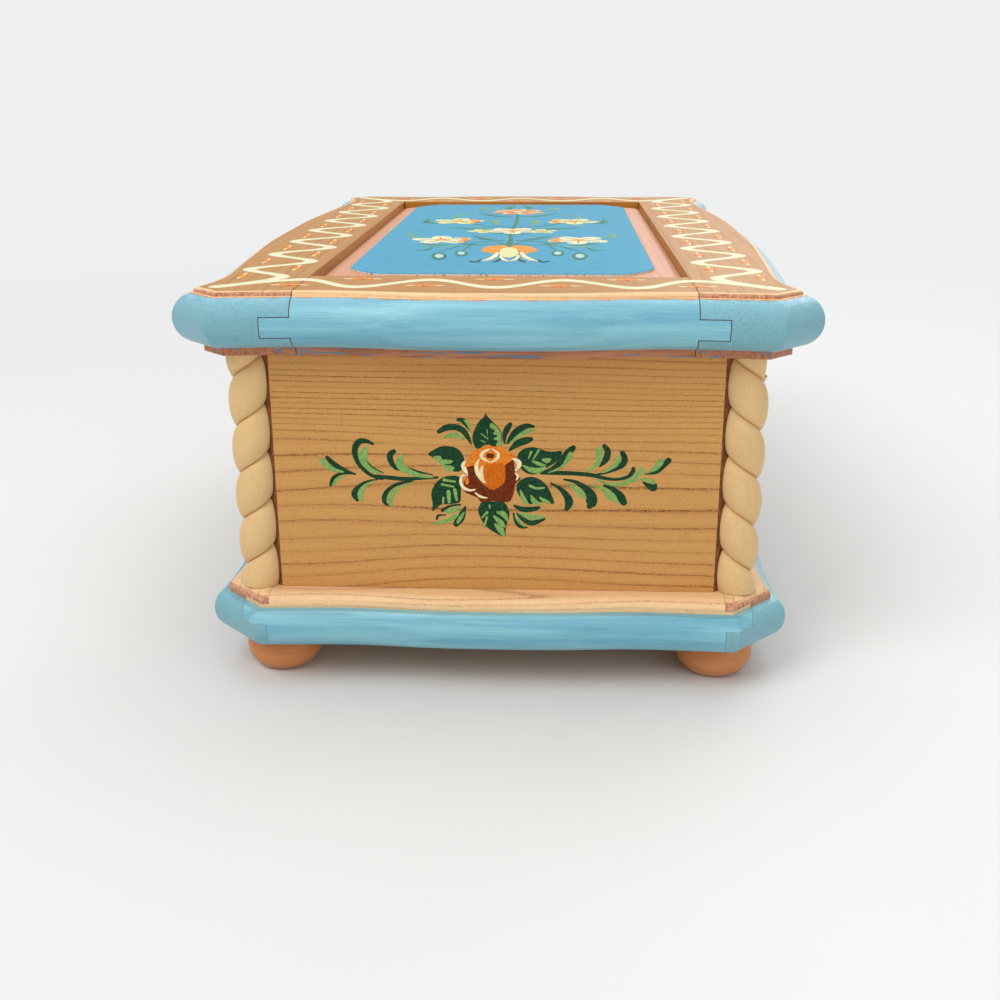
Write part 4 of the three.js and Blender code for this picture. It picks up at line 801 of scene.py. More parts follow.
# The rose spray, in millimetres of the right wall: across, up and, for a stroke, half its width. D is a dark leaf, L a
# light leaf, C cream, O orange, P deep orange and B brown. The lid's ornament adds A marigold, E peach, V the border's
# wave, G stems, K pale stems, and W and Y pale petals.
STROKES = [
    ("D", [(-37.5, 77.7, 0.4), (-39.5, 78.6, 0.7), (-41.7, 78.4, 1), (-43.1, 76.2, 1), (-42.9, 73.1, 0.8),
        (-41.1, 70, 0.7), (-38.4, 67.7, 0.6), (-35.1, 66.8, 0.7)]),
    ("D", [(-38.4, 67.5, 0.5), (-33.2, 67, 0.7), (-28, 66.6, 0.7), (-22.7, 66.9, 0.5), (-18, 67.2, 0.4)]),
    ("L", [(-39.2, 76.5, 0.5), (-40.7, 74.7, 1.4), (-40.3, 72, 1.3), (-38.3, 69.7, 1), (-35.8, 68.3, 0.4)]),
    ("D", [(-31.2, 75.4, 0.8), (-32.4, 74.2, 1), (-32.1, 72.1, 0.9), (-30.8, 70.1, 0.6), (-29.6, 69.4, 0.2)]),
    ("D", [(-26.7, 70.2, 0.2), (-23.4, 68.9, 0.3), (-19.5, 68.1, 0.2)]),
    ("L", [(-28.9, 73.9, 0.7), (-29.5, 72.1, 1.3), (-28.6, 70.2, 1.3), (-25.7, 68.6, 0.9), (-21.9, 67.5, 0.6),
        (-19.3, 67.2, 0.2)]),
    ("D", [(-36.2, 66.4, 0.2), (-39.6, 65.7, 0.4), (-42.3, 64.1, 0.6), (-43.9, 61.7, 1), (-43.1, 59.6, 0.6)]),
    ("L", [(-37.4, 66, 0.1), (-40, 64.6, 0.5), (-41.6, 62.6, 0.9), (-42.1, 60.2, 0.8), (-41.2, 59.8, 0.3)]),
    ("D", [(-25.3, 65.9, 0.1), (-29.1, 65.3, 0.5), (-32.2, 63.9, 0.6), (-34.3, 61.5, 0.8), (-34.6, 59.1, 0.7),
        (-33.3, 57.8, 0.2)]),
    ("L", [(-25, 65.5, 0.1), (-29.1, 64.1, 0.4), (-31.5, 62.3, 0.8), (-32.9, 59.9, 0.9), (-32.5, 58.1, 0.5)]),
    ("D", [(-51.8, 73.2, 0.7), (-49.6, 71, 0.9), (-46.1, 68.9, 0.7), (-43.3, 68, 0.3)]),
    ("L", [(-53.4, 72.1, 1), (-50.7, 69.7, 0.8), (-47.1, 68.7, 0.3)]),
    ("D", [(-43.6, 68.1, 0.3), (-47.4, 68.2, 0.5), (-50.1, 66.8, 0.6), (-51.2, 64.4, 0.5)]),
    ("L", [(-46.3, 67.4, 0.2), (-49, 66.4, 0.5), (-50.2, 64.4, 0.5)]),
    ("D", [(-17.2, 81.8, 0.7), (-15.2, 83, 1), (-12.4, 83.3, 1), (-9.9, 82.2, 1), (-8.4, 80, 0.7),
        (-7.4, 77.9, 0.2)]),
    ("L", [(-16.3, 79.7, 0.2), (-14, 80.7, 0.7), (-11.8, 80.7, 0.8), (-9.7, 79.5, 0.3)]),
    ("D", [(-11.4, 85.6, 0.5), (-9.9, 85.4, 0.8), (-9, 84.1, 0.6), (-7.9, 82.4, 0.2)]),
    ("L", [(-9.6, 85.4, 0.2), (-8.4, 84.6, 0.6), (-7.8, 82.6, 0.2)]),
    ("D", [(4.4, 84.3, 0.7), (3.4, 82.7, 1), (2.7, 80.7, 0.7), (2.7, 78.3, 0.3)]),
    ("D", [(11.5, 83.7, 0.4), (9.2, 83.8, 0.9), (6.4, 82.1, 1.2), (4.6, 79.8, 0.9), (3.5, 78.3, 0.3)]),
    ("L", [(12, 82.9, 0.3), (9.5, 82.1, 0.7), (7.1, 80.8, 0.6), (4.3, 78.3, 0.2)]),
    ("D", [(10.6, 79.7, 0.8), (8.9, 79.2, 1.2), (6.5, 78.2, 1.1), (4.3, 76.2, 0.4)]),
    ("D", [(23.5, 77.1, 0.9), (22, 75.5, 1.2), (20.1, 72.8, 1.1), (17.4, 70.5, 0.7), (13.6, 69, 0.2)]),
    ("L", [(22.6, 75.1, 0.9), (22, 73.5, 0.9), (20.5, 71.5, 0.4), (18, 69.9, 0.3), (15.5, 69, 0.1)]),
    ("D", [(-16.6, 56.5, 0.6), (-14.4, 57.9, 0.4), (-11, 58.5, 0.3)]),
    ("L", [(-15.7, 56.2, 0.4), (-13.8, 56.4, 1), (-11.4, 57.6, 0.4)]),
    ("D", [(-18.4, 53.7, 0.4), (-17.9, 54.8, 0.4), (-15.7, 55, 0.2)]),
    ("L", [(-18.9, 52, 0.5), (-16, 52.9, 0.7), (-13.2, 54.2, 0.7), (-11.6, 55.6, 0.3)]),
    ("D", [(-12.4, 52.1, 1), (-10.9, 54.3, 1.3), (-9.5, 57.8, 0.3)]),
    ("L", [(-11.9, 52.7, 0.5), (-10.9, 54.3, 0.6), (-10, 56, 0.3)]),
    ("D", [(5.7, 58.3, 0.4), (8.1, 57.2, 0.9), (10.9, 57.2, 0.9), (13.3, 57.8, 0.5)]),
    ("D", [(6.5, 55.8, 0.3), (8.4, 53.9, 0.7), (11.2, 52.7, 0.9), (14.9, 54.1, 0.5)]),
    ("L", [(7.1, 55.9, 0.3), (10, 54.9, 0.8), (12.8, 54.6, 0.8), (14.7, 54.6, 0.3)]),
    ("D", [(5.4, 55.8, 0.3), (6.2, 53.2, 0.6), (7.5, 51.5, 0.6), (9.5, 51.2, 0.3)]),
    ("L", [(5.9, 55.2, 0.2), (7.1, 53.2, 0.5), (9, 51.5, 0.2)]),
    ("D", [(13.9, 68.9, 0.4), (17.2, 69.1, 0.7), (23.5, 69, 0.7), (29.4, 68.5, 0.7), (33.1, 67.6, 0.6),
        (36.8, 67.2, 0.5), (40.1, 68, 0.6), (41.7, 69.6, 0.7), (41.9, 70.8, 0.6)]),
    ("L", [(29.4, 67.5, 0.1), (33.2, 66.2, 0.4), (36.9, 65.5, 0.6), (40.5, 66.5, 0.7), (43.1, 68.5, 0.8),
        (44.3, 70.4, 0.9)]),
    ("D", [(45.6, 69, 0.2), (48.9, 69.7, 0.6), (51, 71.7, 0.8), (52.4, 73.4, 1)]),
    ("L", [(46.1, 69.5, 0.3), (48.8, 71.2, 0.9), (50.2, 73.2, 1)]),
    ("D", [(45, 66.4, 0.3), (46.5, 65.4, 0.8), (48.2, 64.6, 1.2), (48.7, 65.6, 0.6)]),
    ("L", [(42.4, 66.9, 0.1), (45.3, 67.3, 0.4), (47.2, 66.8, 0.7), (48.5, 66.2, 0.4)]),
    ("D", [(32.9, 77.8, 0.7), (34, 76.1, 1), (33.4, 73.4, 1), (31.6, 71.2, 0.2)]),
    ("L", [(31.3, 76.6, 1), (31.5, 74.1, 1), (30.8, 72.2, 0.8), (28.6, 70.2, 0.4), (27.2, 69.4, 0.1)]),
    ("D", [(38.4, 75.7, 0.8), (39.2, 73.8, 1), (38.5, 71.9, 1), (36, 70.3, 0.6), (32.7, 69.1, 0.4),
        (30.9, 68.9, 0.2)]),
    ("L", [(37.2, 74.2, 0.7), (36.7, 72.3, 0.8), (34.9, 70.7, 0.6), (32.7, 69.3, 0.2)]),
    ("D", [(16.9, 65.8, 0.3), (19.9, 63.9, 0.7), (22.1, 61.2, 1.2), (22.5, 59.2, 1.3), (21.8, 57.4, 0.7)]),
    ("D", [(20.9, 67, 0.3), (24.3, 66.3, 0.6), (27.3, 64.4, 1), (29.2, 62.1, 1.6), (29.4, 59.7, 1.8),
        (28.9, 58.5, 1)]),
    ("L", [(21.7, 65.9, 0.1), (24.3, 64.3, 0.8), (26.6, 62, 1), (27.3, 61.2, 0.3)]),
    ("D", [(33.2, 65.2, 0.4), (35.8, 64.1, 0.8), (38.1, 61.8, 1.4), (39.3, 59.8, 1.1)]),
    ("L", [(29.5, 65.2, 0.2), (32.8, 64.1, 0.7), (35.5, 61.7, 1.3), (37, 60.2, 0.7)]),
]
SHAPES = [
    ("D", [(-3.1, 87.7), (-2.3, 86.6), (0, 84.2), (1.7, 82), (2, 79.4), (1.8, 77.5), (0.6, 76.8), (-1.3, 77.3),
        (-3.2, 77.8), (-5, 76.6), (-6.1, 76.8), (-7, 79), (-6.9, 81.3), (-5.6, 84.2), (-4.7, 85.5), (-3.6, 86.4)]),
    ("L", [(-1.4, 84.7), (0, 83.9), (1.5, 81.7), (1.8, 79.1), (2, 77.3), (0.9, 77), (0.1, 77.8), (0.6, 79.1),
        (-0.7, 79.6), (0.6, 80.7), (-0.8, 81.3), (-0.2, 82.3), (-1.7, 83.3)]),
    ("D", [(6.6, 74), (7.5, 75.9), (9.9, 77.1), (12.7, 77), (15.4, 76), (18.2, 75.9), (20.1, 76.1), (19.8, 74.1),
        (18.3, 72.5), (16.4, 71.2), (13.6, 69.5), (11.8, 68.5), (9.3, 69), (7.4, 70.7)]),
    ("L", [(14.2, 73.6), (16.7, 73.8), (16.6, 72.8), (15.5, 72.1), (14.4, 72.8)]),
    ("D", [(-20.7, 74.7), (-19.1, 76), (-16.9, 77.1), (-14.7, 77.3), (-12.5, 76.9), (-10.7, 75.6), (-9.7, 73.5),
        (-9.9, 71.5), (-10.7, 69.6), (-12, 69.1), (-13.6, 69.5), (-15.4, 71.1), (-17.6, 72.4), (-19.4, 73.7)]),
    ("L", [(-19.1, 73.9), (-16.9, 74.1), (-16.3, 73.1), (-13.2, 72.8), (-13.8, 71.8), (-16, 71.5), (-12.9, 70.8),
        (-13.2, 69.5), (-14.8, 69.2), (-16.4, 70.8), (-17.9, 72.4)]),
    ("D", [(-19.8, 56.2), (-19.6, 58.5), (-20, 61.5), (-19.3, 64.2), (-17.4, 66.5), (-14.8, 67.7), (-11.4, 67.6),
        (-10.8, 65.3), (-10.8, 62), (-11.2, 59.3), (-14, 58.6), (-16.9, 58.4), (-18.5, 57.2)]),
    ("D", [(6.3, 63.8), (7.1, 66.2), (9.3, 67.5), (11.5, 67.7), (14, 66.6), (15.9, 64.6), (17, 62.3), (18, 59.3),
        (15.9, 59.3), (13.7, 59.6), (10.6, 58.9), (8.7, 59.5), (7.4, 61.2)]),
    ("D", [(2.7, 48), (-0.2, 49.3), (-3, 51.3), (-4.6, 53.7), (-5.5, 56.4), (-5, 58.4), (-3.9, 59.7), (-0.8, 59.6),
        (2.4, 59.5), (4, 56.8), (4.1, 54.5), (3.3, 52.1), (3, 50.1)]),
    ("B", [(-8.5, 71.4), (-5.7, 71.9), (-1.3, 71.3), (2.7, 71.3), (4, 73), (5.5, 73), (5.8, 69.7), (7.6, 67.1),
        (5.9, 65.5), (5.7, 63.5), (4.9, 60.8), (3.7, 59.5), (-0.8, 59.8), (-4.5, 59.4), (-5.5, 60.7), (-7.7, 61.7),
        (-9.9, 63), (-9.8, 65.9), (-9, 67.9)]),
    ("O", [(-2.2, 77.9), (-0.7, 77.3), (1.5, 77.5), (3.4, 75.9), (5.7, 74.5), (4.9, 73), (2.7, 71.3), (2.7, 69.4),
        (2.6, 66.1), (0.5, 64.1), (-1.2, 63.4), (-3.2, 64.7), (-4.8, 66.3), (-5.7, 69.3), (-6.6, 71.2), (-9.2, 70.6),
        (-9.6, 71.2), (-8.5, 72.9), (-7.9, 74.5), (-6.3, 76.1), (-4.4, 76.8)]),
    ("P", [(-3.5, 71.3), (0.5, 72), (2.7, 71.3), (2.7, 66.1), (0.5, 64.1), (-1.2, 63.4), (-3.2, 65), (-4.8, 66.7),
        (-4.5, 69.3)]),
    ("O", [(-9.5, 66.9), (-8.6, 67.3), (-8.3, 65.6), (-9.2, 65)]),
]
ACCENTS = [
    ("L", [(-4.4, 81.3, 0.2), (-2.4, 79.8, 0.2)]),
    ("L", [(-2.7, 82.6, 0.2), (-2.4, 80.8, 0.1)]),
    ("L", [(-4.4, 79.2, 0.2), (-3.2, 78.6, 0.2)]),
    ("L", [(10.8, 75.7, 0.4), (10, 73.7, 0.2)]),
    ("L", [(13.1, 76.3, 0.4), (11.4, 73.4, 0.2)]),
    ("L", [(11.4, 72.7, 0.4), (13.6, 71.8, 0.6), (15.2, 71.5, 0.2)]),
    ("L", [(8.3, 71.4, 0.2), (10.5, 70.1, 0.8), (13, 69.8, 0.9), (15.2, 70.8, 0.3)]),
    ("L", [(-16, 66.5, 0.5), (-12.5, 65.9, 0.3)]),
    ("L", [(-16.6, 65, 0.4), (-13, 64.3, 0.3)]),
    ("L", [(-14.6, 62.6, 0.7), (-14.5, 59.3, 0.5)]),
    ("L", [(-12.7, 63.3, 0.6), (-12.1, 60, 0.4)]),
    ("L", [(-16.2, 60.6, 0.4), (-16.4, 58.9, 0.3)]),
    ("L", [(10.4, 64.9, 0.4), (12.4, 64.1, 0.4), (14.8, 64.3, 0.3)]),
    ("L", [(7.6, 63.2, 0.3), (8.7, 60.2, 0.8), (10, 58.9, 0.3)]),
    ("L", [(10.9, 61.7, 0.3), (11.8, 59.9, 0.8), (13.7, 58.9, 0.3)]),
    ("L", [(13.6, 61.1, 0.3), (15, 60.1, 0.6), (16.6, 59.5, 0.3)]),
    ("L", [(-2, 58.4, 0.3), (-1.9, 57.4, 0.2)]),
    ("L", [(-2.7, 56.1, 0.4), (-4.3, 54.4, 0.3)]),
    ("L", [(-2.8, 54.4, 0.4), (-3.7, 51.3, 0.3)]),
    ("L", [(0.5, 56.1, 0.4), (2.4, 55.5, 0.9), (3.5, 53.5, 0.4)]),
    ("L", [(-0.5, 54.7, 0.4), (1.4, 52.8, 0.9), (2.7, 51.4, 0.3)]),
    ("L", [(-0.2, 52.1, 0.4), (1.4, 50.4, 1.1), (2.4, 48.4, 0.4)]),
    ("C", [(-1.8, 76.5, 0.2), (-3.8, 75.5, 0.5), (-4.3, 73.9, 0.5), (-1.9, 72.4, 0.2)]),
    ("C", [(-1, 76.5, 0.2), (0.7, 75.2, 0.4), (0.5, 73.6, 0.5), (-1.3, 72.3, 0.2)]),
    ("B", [(-2.1, 74.4, 0.8), (-1.2, 74.4, 0.8)]),
    ("C", [(-5.1, 73.2, 0.2), (-5.9, 71.2, 0.6), (-5.7, 69, 0.6), (-4.5, 67, 0.6), (-3.1, 65.7, 0.2)]),
    ("C", [(-4.1, 70.8, 0.4), (-4.5, 69, 0.6), (-3.9, 67, 0.3)]),
    ("C", [(-9.4, 72.5, 0.3), (-10.1, 71.2, 0.6), (-9.3, 69.6, 0.6), (-8.6, 68.1, 0.1)]),
    ("C", [(-8.6, 67.8, 0.1), (-10.3, 67.9, 0.3), (-10.8, 65.9, 0.5), (-9.9, 64, 0.5), (-8, 63.2, 0.4),
        (-6.4, 63.5, 0.2)]),
    ("C", [(-6.3, 62.4, 0.2), (-4.8, 61.2, 0.4), (-2.8, 60.8, 0.2)]),
    ("C", [(5.1, 73.5, 0.2), (6.8, 72.7, 0.7), (7.2, 71.4, 0.7), (6, 69.7, 0.2)]),
    ("C", [(6, 68.9, 0.2), (6.8, 67.8, 0.4), (6.3, 66.8, 0.2)]),
    ("D", [(-39.7, 72.4, 0.1), (-37.9, 70.3, 0.2), (-34.6, 68.5, 0.1)]),
]
FIELD_SHAPES = [
    ("G", [(-20.1, 73.2), (-20.3, 79.5), (-22, 82.1), (-24.1, 79.6), (-25.5, 73.4), (-25.4, 66.9), (-23.6, 64.1),
        (-21.4, 66.8)]),
    ("G", [(23.1, 72.2), (23.8, 78.5), (25.7, 81), (27.7, 78.4), (28.6, 72.1), (27.9, 65.6), (26, 62.9),
        (24, 65.7)]),
    ("G", [(-13.3, 65.9), (-13.6, 71), (-15.1, 73.1), (-16.9, 71.1), (-18, 66), (-17.7, 60.8), (-16.2, 58.6),
        (-14.4, 60.7)]),
    ("G", [(15.9, 65.2), (16.6, 70.3), (18.2, 72.3), (19.9, 70.2), (20.6, 65.1), (19.9, 59.9), (18.2, 57.8),
        (16.5, 60)]),
]
FIELD_STROKES = [
    ("G", [(0.2, 45, 0.5), (-5.6, 32.3, 0.6), (-12.9, 36.1, 0.6), (-19.5, 49.9, 0.5), (-23.9, 60.9, 0.3)]),
    ("G", [(0.8, 45, 0.5), (5.7, 32.1, 0.6), (13.2, 35.5, 0.6), (20.8, 49, 0.5), (26.1, 59.8, 0.3)]),
    ("G", [(-12.9, 36.1, 0.5), (-14.9, 49.8, 0.5), (-15.9, 58.6, 0.3)]),
    ("G", [(13.2, 35.5, 0.5), (16.2, 49.1, 0.5), (17.9, 57.8, 0.3)]),
    ("G", [(0.8, 59.3, 1.6), (0.1, 42.7, 1.1), (-0.2, 26.2, 0.4)]),
    ("G", [(-27.5, 50.1, 0.5), (-29.2, 57.8, 1.1), (-33, 57.9, 0.3)]),
    ("G", [(28.8, 48.8, 0.5), (31.1, 56.4, 1.1), (34.9, 56.3, 0.3)]),
    ("G", [(-22.6, 43.2, 0.5), (-28.6, 42.2, 1.2), (-33.6, 36.5, 0.3)]),
    ("G", [(23.5, 42.2, 0.5), (29.3, 40.9, 1.2), (33.9, 35, 0.3)]),
    ("A", [(-8.2, 59.5, 1), (-5.8, 52.9, 2.6), (-1.8, 52.9, 1.6)]),
    ("A", [(10.3, 59.1, 1), (7.4, 52.6, 2.6), (3.4, 52.7, 1.6)]),
    ("A", [(-7.8, 53, 0.8), (-5.6, 61.5, 1.8), (-2.3, 66.7, 1)]),
    ("A", [(9.4, 52.6, 0.8), (7.9, 61.2, 1.8), (4.9, 66.5, 1)]),
]
FIELD_ACCENTS = [
    ("W", [(-21.3, 73.2), (-21.4, 76.7), (-22.3, 78.2), (-23.5, 76.8), (-24.3, 73.3), (-24.2, 69.8), (-23.3, 68.3),
        (-22, 69.7)]),
    ("W", [(24.4, 72.2), (24.7, 75.6), (25.8, 77), (26.9, 75.6), (27.4, 72.1), (27, 68.6), (25.9, 67.1),
        (24.8, 68.6)]),
    ("W", [(-14.4, 65.9), (-14.5, 68.7), (-15.4, 69.9), (-16.4, 68.8), (-17, 66), (-16.8, 63.2), (-16, 61.9),
        (-14.9, 63.1)]),
    ("W", [(16.9, 65.2), (17.3, 68), (18.2, 69.1), (19.1, 67.9), (19.5, 65.1), (19.1, 62.3), (18.2, 61.1),
        (17.3, 62.4)]),
    ("Y", [(4.3, 63.4), (3.6, 72.8), (1.4, 76.7), (-1, 73), (-2.4, 63.6), (-1.9, 53.7), (0.4, 49.5), (3, 53.6)]),
    ("C", [(-7.3, 84.6, 0.4), (-5.6, 82.7, 0.9), (-3.6, 73.8, 1), (-3, 63.6, 0.5)]),
    ("C", [(11.3, 84.2, 0.4), (9.4, 82.3, 0.9), (6.8, 73.6, 1), (5.4, 63.4, 0.5)]),
    ("C", [(-1.5, 70.8, 0.4), (-0.6, 80.6, 0.8), (1.8, 85.4, 0.4)]),
    ("C", [(4.5, 70.6, 0.4), (4.3, 80.5, 0.8), (2.3, 85.4, 0.4)]),
    ("D", [(-11.2, 85.7, 0.3), (-9, 87.5, 0.6), (-7.8, 81.8, 0.3)]),
    ("D", [(15.3, 85, 0.3), (13.2, 87, 0.6), (11.5, 81.3, 0.3)]),
    ("D", [(-3.2, 87.4, 0.3), (-1.8, 83.6, 0.6), (-0.8, 75.7, 0.3)]),
    ("D", [(7.4, 87.1, 0.3), (5.7, 83.4, 0.6), (4.1, 75.6, 0.3)]),
]

BOTH_SIDES = [
    ("G", [(1, 40, 0.5), (12, 42, 0.7), (24, 31, 0.5)]),
    ("G", [(0, 12, 0.5), (6, 6, 0.7), (11, 0, 0.4)]),
    ("G", [(0, -14, 0.5), (12, -20, 0.8), (23, -36, 0.5)]),
    ("G", [(2, 30, 0.4), (9, 25, 1.9), (15, 14, 0.4)]),
    ("K", [(16, 44, 0.4), (24, 47, 1.7), (34, 46, 0.4)]),
    ("K", [(33, 22, 0.4), (39, 16, 1.9), (40, 6, 0.4)]),
    ("G", [(5, -6, 0.4), (15, -9, 2.0), (27, -14, 0.4)]),
    ("K", [(6, -22, 0.4), (9, -34, 2.1), (7, -47, 0.4)]),
    ("G", [(32, -27, 0.4), (38, -34, 1.9), (38, -46, 0.4)]),
    ("K", [(28, -50, 0.4), (26, -60, 2.0), (19, -68, 0.4)]),
    ("G", [(1, -56, 0.4), (9, -59, 1.8), (18, -72, 0.4)]),
    ("K", [(10, -82, 0.4), (17, -90, 2.0), (16, -101, 0.4)]),
    ("G", [(4, -88, 0.4), (5, -97, 1.8), (2, -106, 0.4)]),
]


def rose_spray(name, lay, reach=0.0):
    """The spray; a reach above zero repeats its branches that far out."""
    work = Brushwork(lay)
    layers = {"D": 0, "L": 1, "B": 1, "O": 2, "P": 3}
    middle_part, top_layer = 17, 4
    for colour, knots in STROKES:
        work.stroke(colour, layers[colour], knots)
        middle = sum(knot[0] for knot in knots) / len(knots)
        if reach and abs(middle) > middle_part:
            out = math.copysign(reach, middle)
            work.stroke(colour, layers[colour], [(x + out, y, half) for x, y, half in knots])
    for colour, knots in SHAPES:
        work.shape(colour, layers[colour], knots)
    for colour, knots in ACCENTS:
        work.stroke(colour, top_layer + 1 if colour == "B" else top_layer, knots)
    work.finish(name, "case")


rose_spray("rose_spray_right", lambda a, b, h: (HALF_LENGTH + h, a, b))
rose_spray("rose_spray_left", lambda a, b, h: (-HALF_LENGTH - h, -a, b))
WIDER, SPRAY_HEIGHT, FRONT_REACH = 1.1, 68, 34.0
rose_spray(
    "rose_spray_front",
    lambda a, b, h: (a * WIDER, -HALF_WIDTH - h, SPRAY_HEIGHT + (b - SPRAY_HEIGHT) * WIDER), FRONT_REACH,
)


def wave(work, knots):
    steps, half, swell = 10, 2.0, 0.35
    run = spline(knots, steps * (len(knots) - 1))
    work.ribbon("V", 0, [(x, y, half + swell * math.cos(2 * math.pi * i / steps)) for i, (x, y) in enumerate(run)])


def turned(x, y, turn):
    """A function that turns a point about the origin and then moves it by x and y."""
    cos, sin = math.cos(turn), math.sin(turn)
    return lambda a, b: (x + a * cos - b * sin, y + a * sin + b * cos)


def blossom(work, x, y, turn):
    """Two orange petals and a bud, with a cream tick on each side."""
    put = turned(x, y, turn)
    ticks = []
    for side in (-1, 1):
        ticks.append(("A", 1, [(side * 0.2, -0.3, 0.6), (side * 1.4, 0.4, 1.25), (side * 2.5, 0.0, 0.7)]))
        ticks.append(("C", 1, [(side * 3.0, 0.7, 0.25), (side * 4.2, 0.1, 0.55), (side * 5.7, 0.5, 0.25)]))
    ticks.append(("P", 2, [(0, 1.8, 0.4), (0, 0.3, 0.7), (0, -1.0, 0.4)]))
    ticks.append(("C", 3, [(-0.5, 0.9, 0.15), (0.1, 1.3, 0.25), (0.6, 0.9, 0.15)]))
    for colour, layer, knots in ticks:
        work.stroke(colour, layer, [put(a, b) + (half,) for a, b, half in knots])


def lid_border():
    work = Brushwork(lambda x, y, h: (x, y, LID_TOP + h))
    end = [(143.5, -82), (129, -59), (142.5, -41), (128.5, -20), (142.5, 0)]
    end += [(x, -y) for x, y in end[-2::-1]]
    side = [(-143.5, 82), (-124, 66.5)] + [(18 * k - 108, 64 if k % 2 else 80.5) for k in range(13)]
    side += [(124, 66.5), (143.5, 82)]
    for sign in (-1, 1):
        wave(work, [(sign * x, y) for x, y in end])
        wave(work, [(x, sign * y) for x, y in side])
        for x, places in ((139.8, (-61, -21, 19, 59)), (127.6, (-41, -1, 39))):
            for y in places:
                blossom(work, sign * x, y, math.pi / 2)
        for y, places in ((79.8, (-122, -88, -53, -17, 19, 55, 89, 122)), (66.3, (-105, -70, -35, 1, 37, 71, 105))):
            for x in places:
                blossom(work, x, sign * y, 0)
    work.finish("lid_border", "lid")


PETAL = [(-0.5, 0), (-0.3, 0.2), (0.1, 0.34), (0.42, 0.22), (0.5, 0), (0.42, -0.22), (0.1, -0.34), (-0.3, -0.2)]


def flower(work, across, along, size, petals, petal, heart, start):
    """Overlapping petals, each with a pale edge and a vein, around a heart; the first lies at the angle start."""
    out, detail, heart_layer, heart_size = 0.52 * size, 3.4, 4.5, 0.2 * size
    for k in range(petals):
        put = turned(across, along, start + 2 * math.pi * k / petals)

        def petal_points(*knots):
            return [put(a * size + out, b * size) for a, b in knots]

        work.shape(petal, 1 + 0.4 * k, petal_points(*PETAL))
        edge = zip(petal_points((-0.1, 0.2), (0.2, 0.24), (0.38, 0.1)), (0.4, 1, 0.5))
        work.stroke("W" if petal == "C" else "C", detail, [point + (0.07 * size * share,) for point, share in edge])
        vein = petal_points((-0.3, 0), (0.0, -0.05), (0.2, -0.04))
        work.stroke("P" if petal == "E" else "K", detail, [point + (0.03 * size,) for point in vein])
    disc = [(across + heart_size * a, along + heart_size * b) for a, b in ((1, 0), (0.7, 0.7), (0, 1), (-0.7, 0.7))]
    disc += [(2 * across - x, 2 * along - y) for x, y in disc]
    work.shape(heart, heart_layer, disc)


def field_bouquet():
    """The bouquet on the blue field, given in millimetres across and along the box."""
    work = Brushwork(lambda y, x, h: (x, y, FIELD_TOP + h))
    for colour, knots in FIELD_STROKES:
        work.stroke(colour, 0, knots)
    for colour, knots in FIELD_SHAPES:
        work.shape(colour, 1, knots)
    for colour, knots in FIELD_ACCENTS:
        if len(knots[0]) == 3:
            work.stroke(colour, 4, knots)
        else:
            work.shape(colour, 3, knots)
    work.stroke("G", 0, [(0, 56, 0.8), (0.6, 34, 0.8), (-0.5, 4, 0.8), (0.6, -34, 0.8), (0, -70, 0.6)])
    for side in (-1, 1):
        for colour, knots in BOTH_SIDES:
            work.stroke(colour, 0, [(side * y, x, half) for y, x, half in knots])
        flower(work, side * 26, 28, 11.5, 5, "C", "A", 0.4 * side)
        flower(work, side * 11.5, -1, 6.5, 5, "Y", "E", 0.9 * side)
        flower(work, side * 24.5, -37, 11.0, 5, "Y", "A", 0.2 * side)
        for x in (28, -37):
            work.stroke("A", 5, [(side * 19, x + 7, 0.5), (side * 16.5, x, 1.7), (side * 19, x - 7, 0.5)])
        bell = [(9.6, 57), (8.6, 49.5), (5.5, 45), (1.6, 44), (0.6, 50), (3, 58), (5.6, 63.5), (8.4, 62.5)]
        work.shape("A", 2, [(0.6 + side * y, x) for y, x in bell])
    flower(work, 0, -2, 10.5, 5, "C", "A", 0.3)
    flower(work, 0, -77, 12.0, 7, "E", "Y", 0.2)
    work.finish("field_bouquet", "lid")


lid_border()
field_bouquet()

# ---------------------------------------------------------------- CAD nodes that stay
for material, names in (
    (end_wood, "left_wall right_wall"),
    (side_wood, "front_wall back_wall"),
    (plain_side, "bottom_board"),
    (plain_cross, "partition glass_ledge_left glass_ledge_right"),
    (gilt, "bedplate comb_base"),
    (clear_glass, "movement_glass"),
    (pinned_brass, "pinned_cylinder"),
    (brass, "cylinder_bridge train_bridge train_cock barrel_bridge governor_block rod_guide"),
    (brass, "cylinder_wheel barrel_drum barrel_cover winding_key hinge_pin_left hinge_pin_right"),
    (brass, "hinge_wall_leaf_left hinge_wall_leaf_right hinge_lid_leaf_left hinge_lid_leaf_right"),
    (steel, "comb cylinder_arbor mainspring winding_arbor ratchet_wheel click second_arbor fly stop_rod"),
):
    for name in names.split():
        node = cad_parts[name]
        if not node.material_slots:
            node.data.materials.append(material)
        for holder in node.material_slots:
            holder.material = material


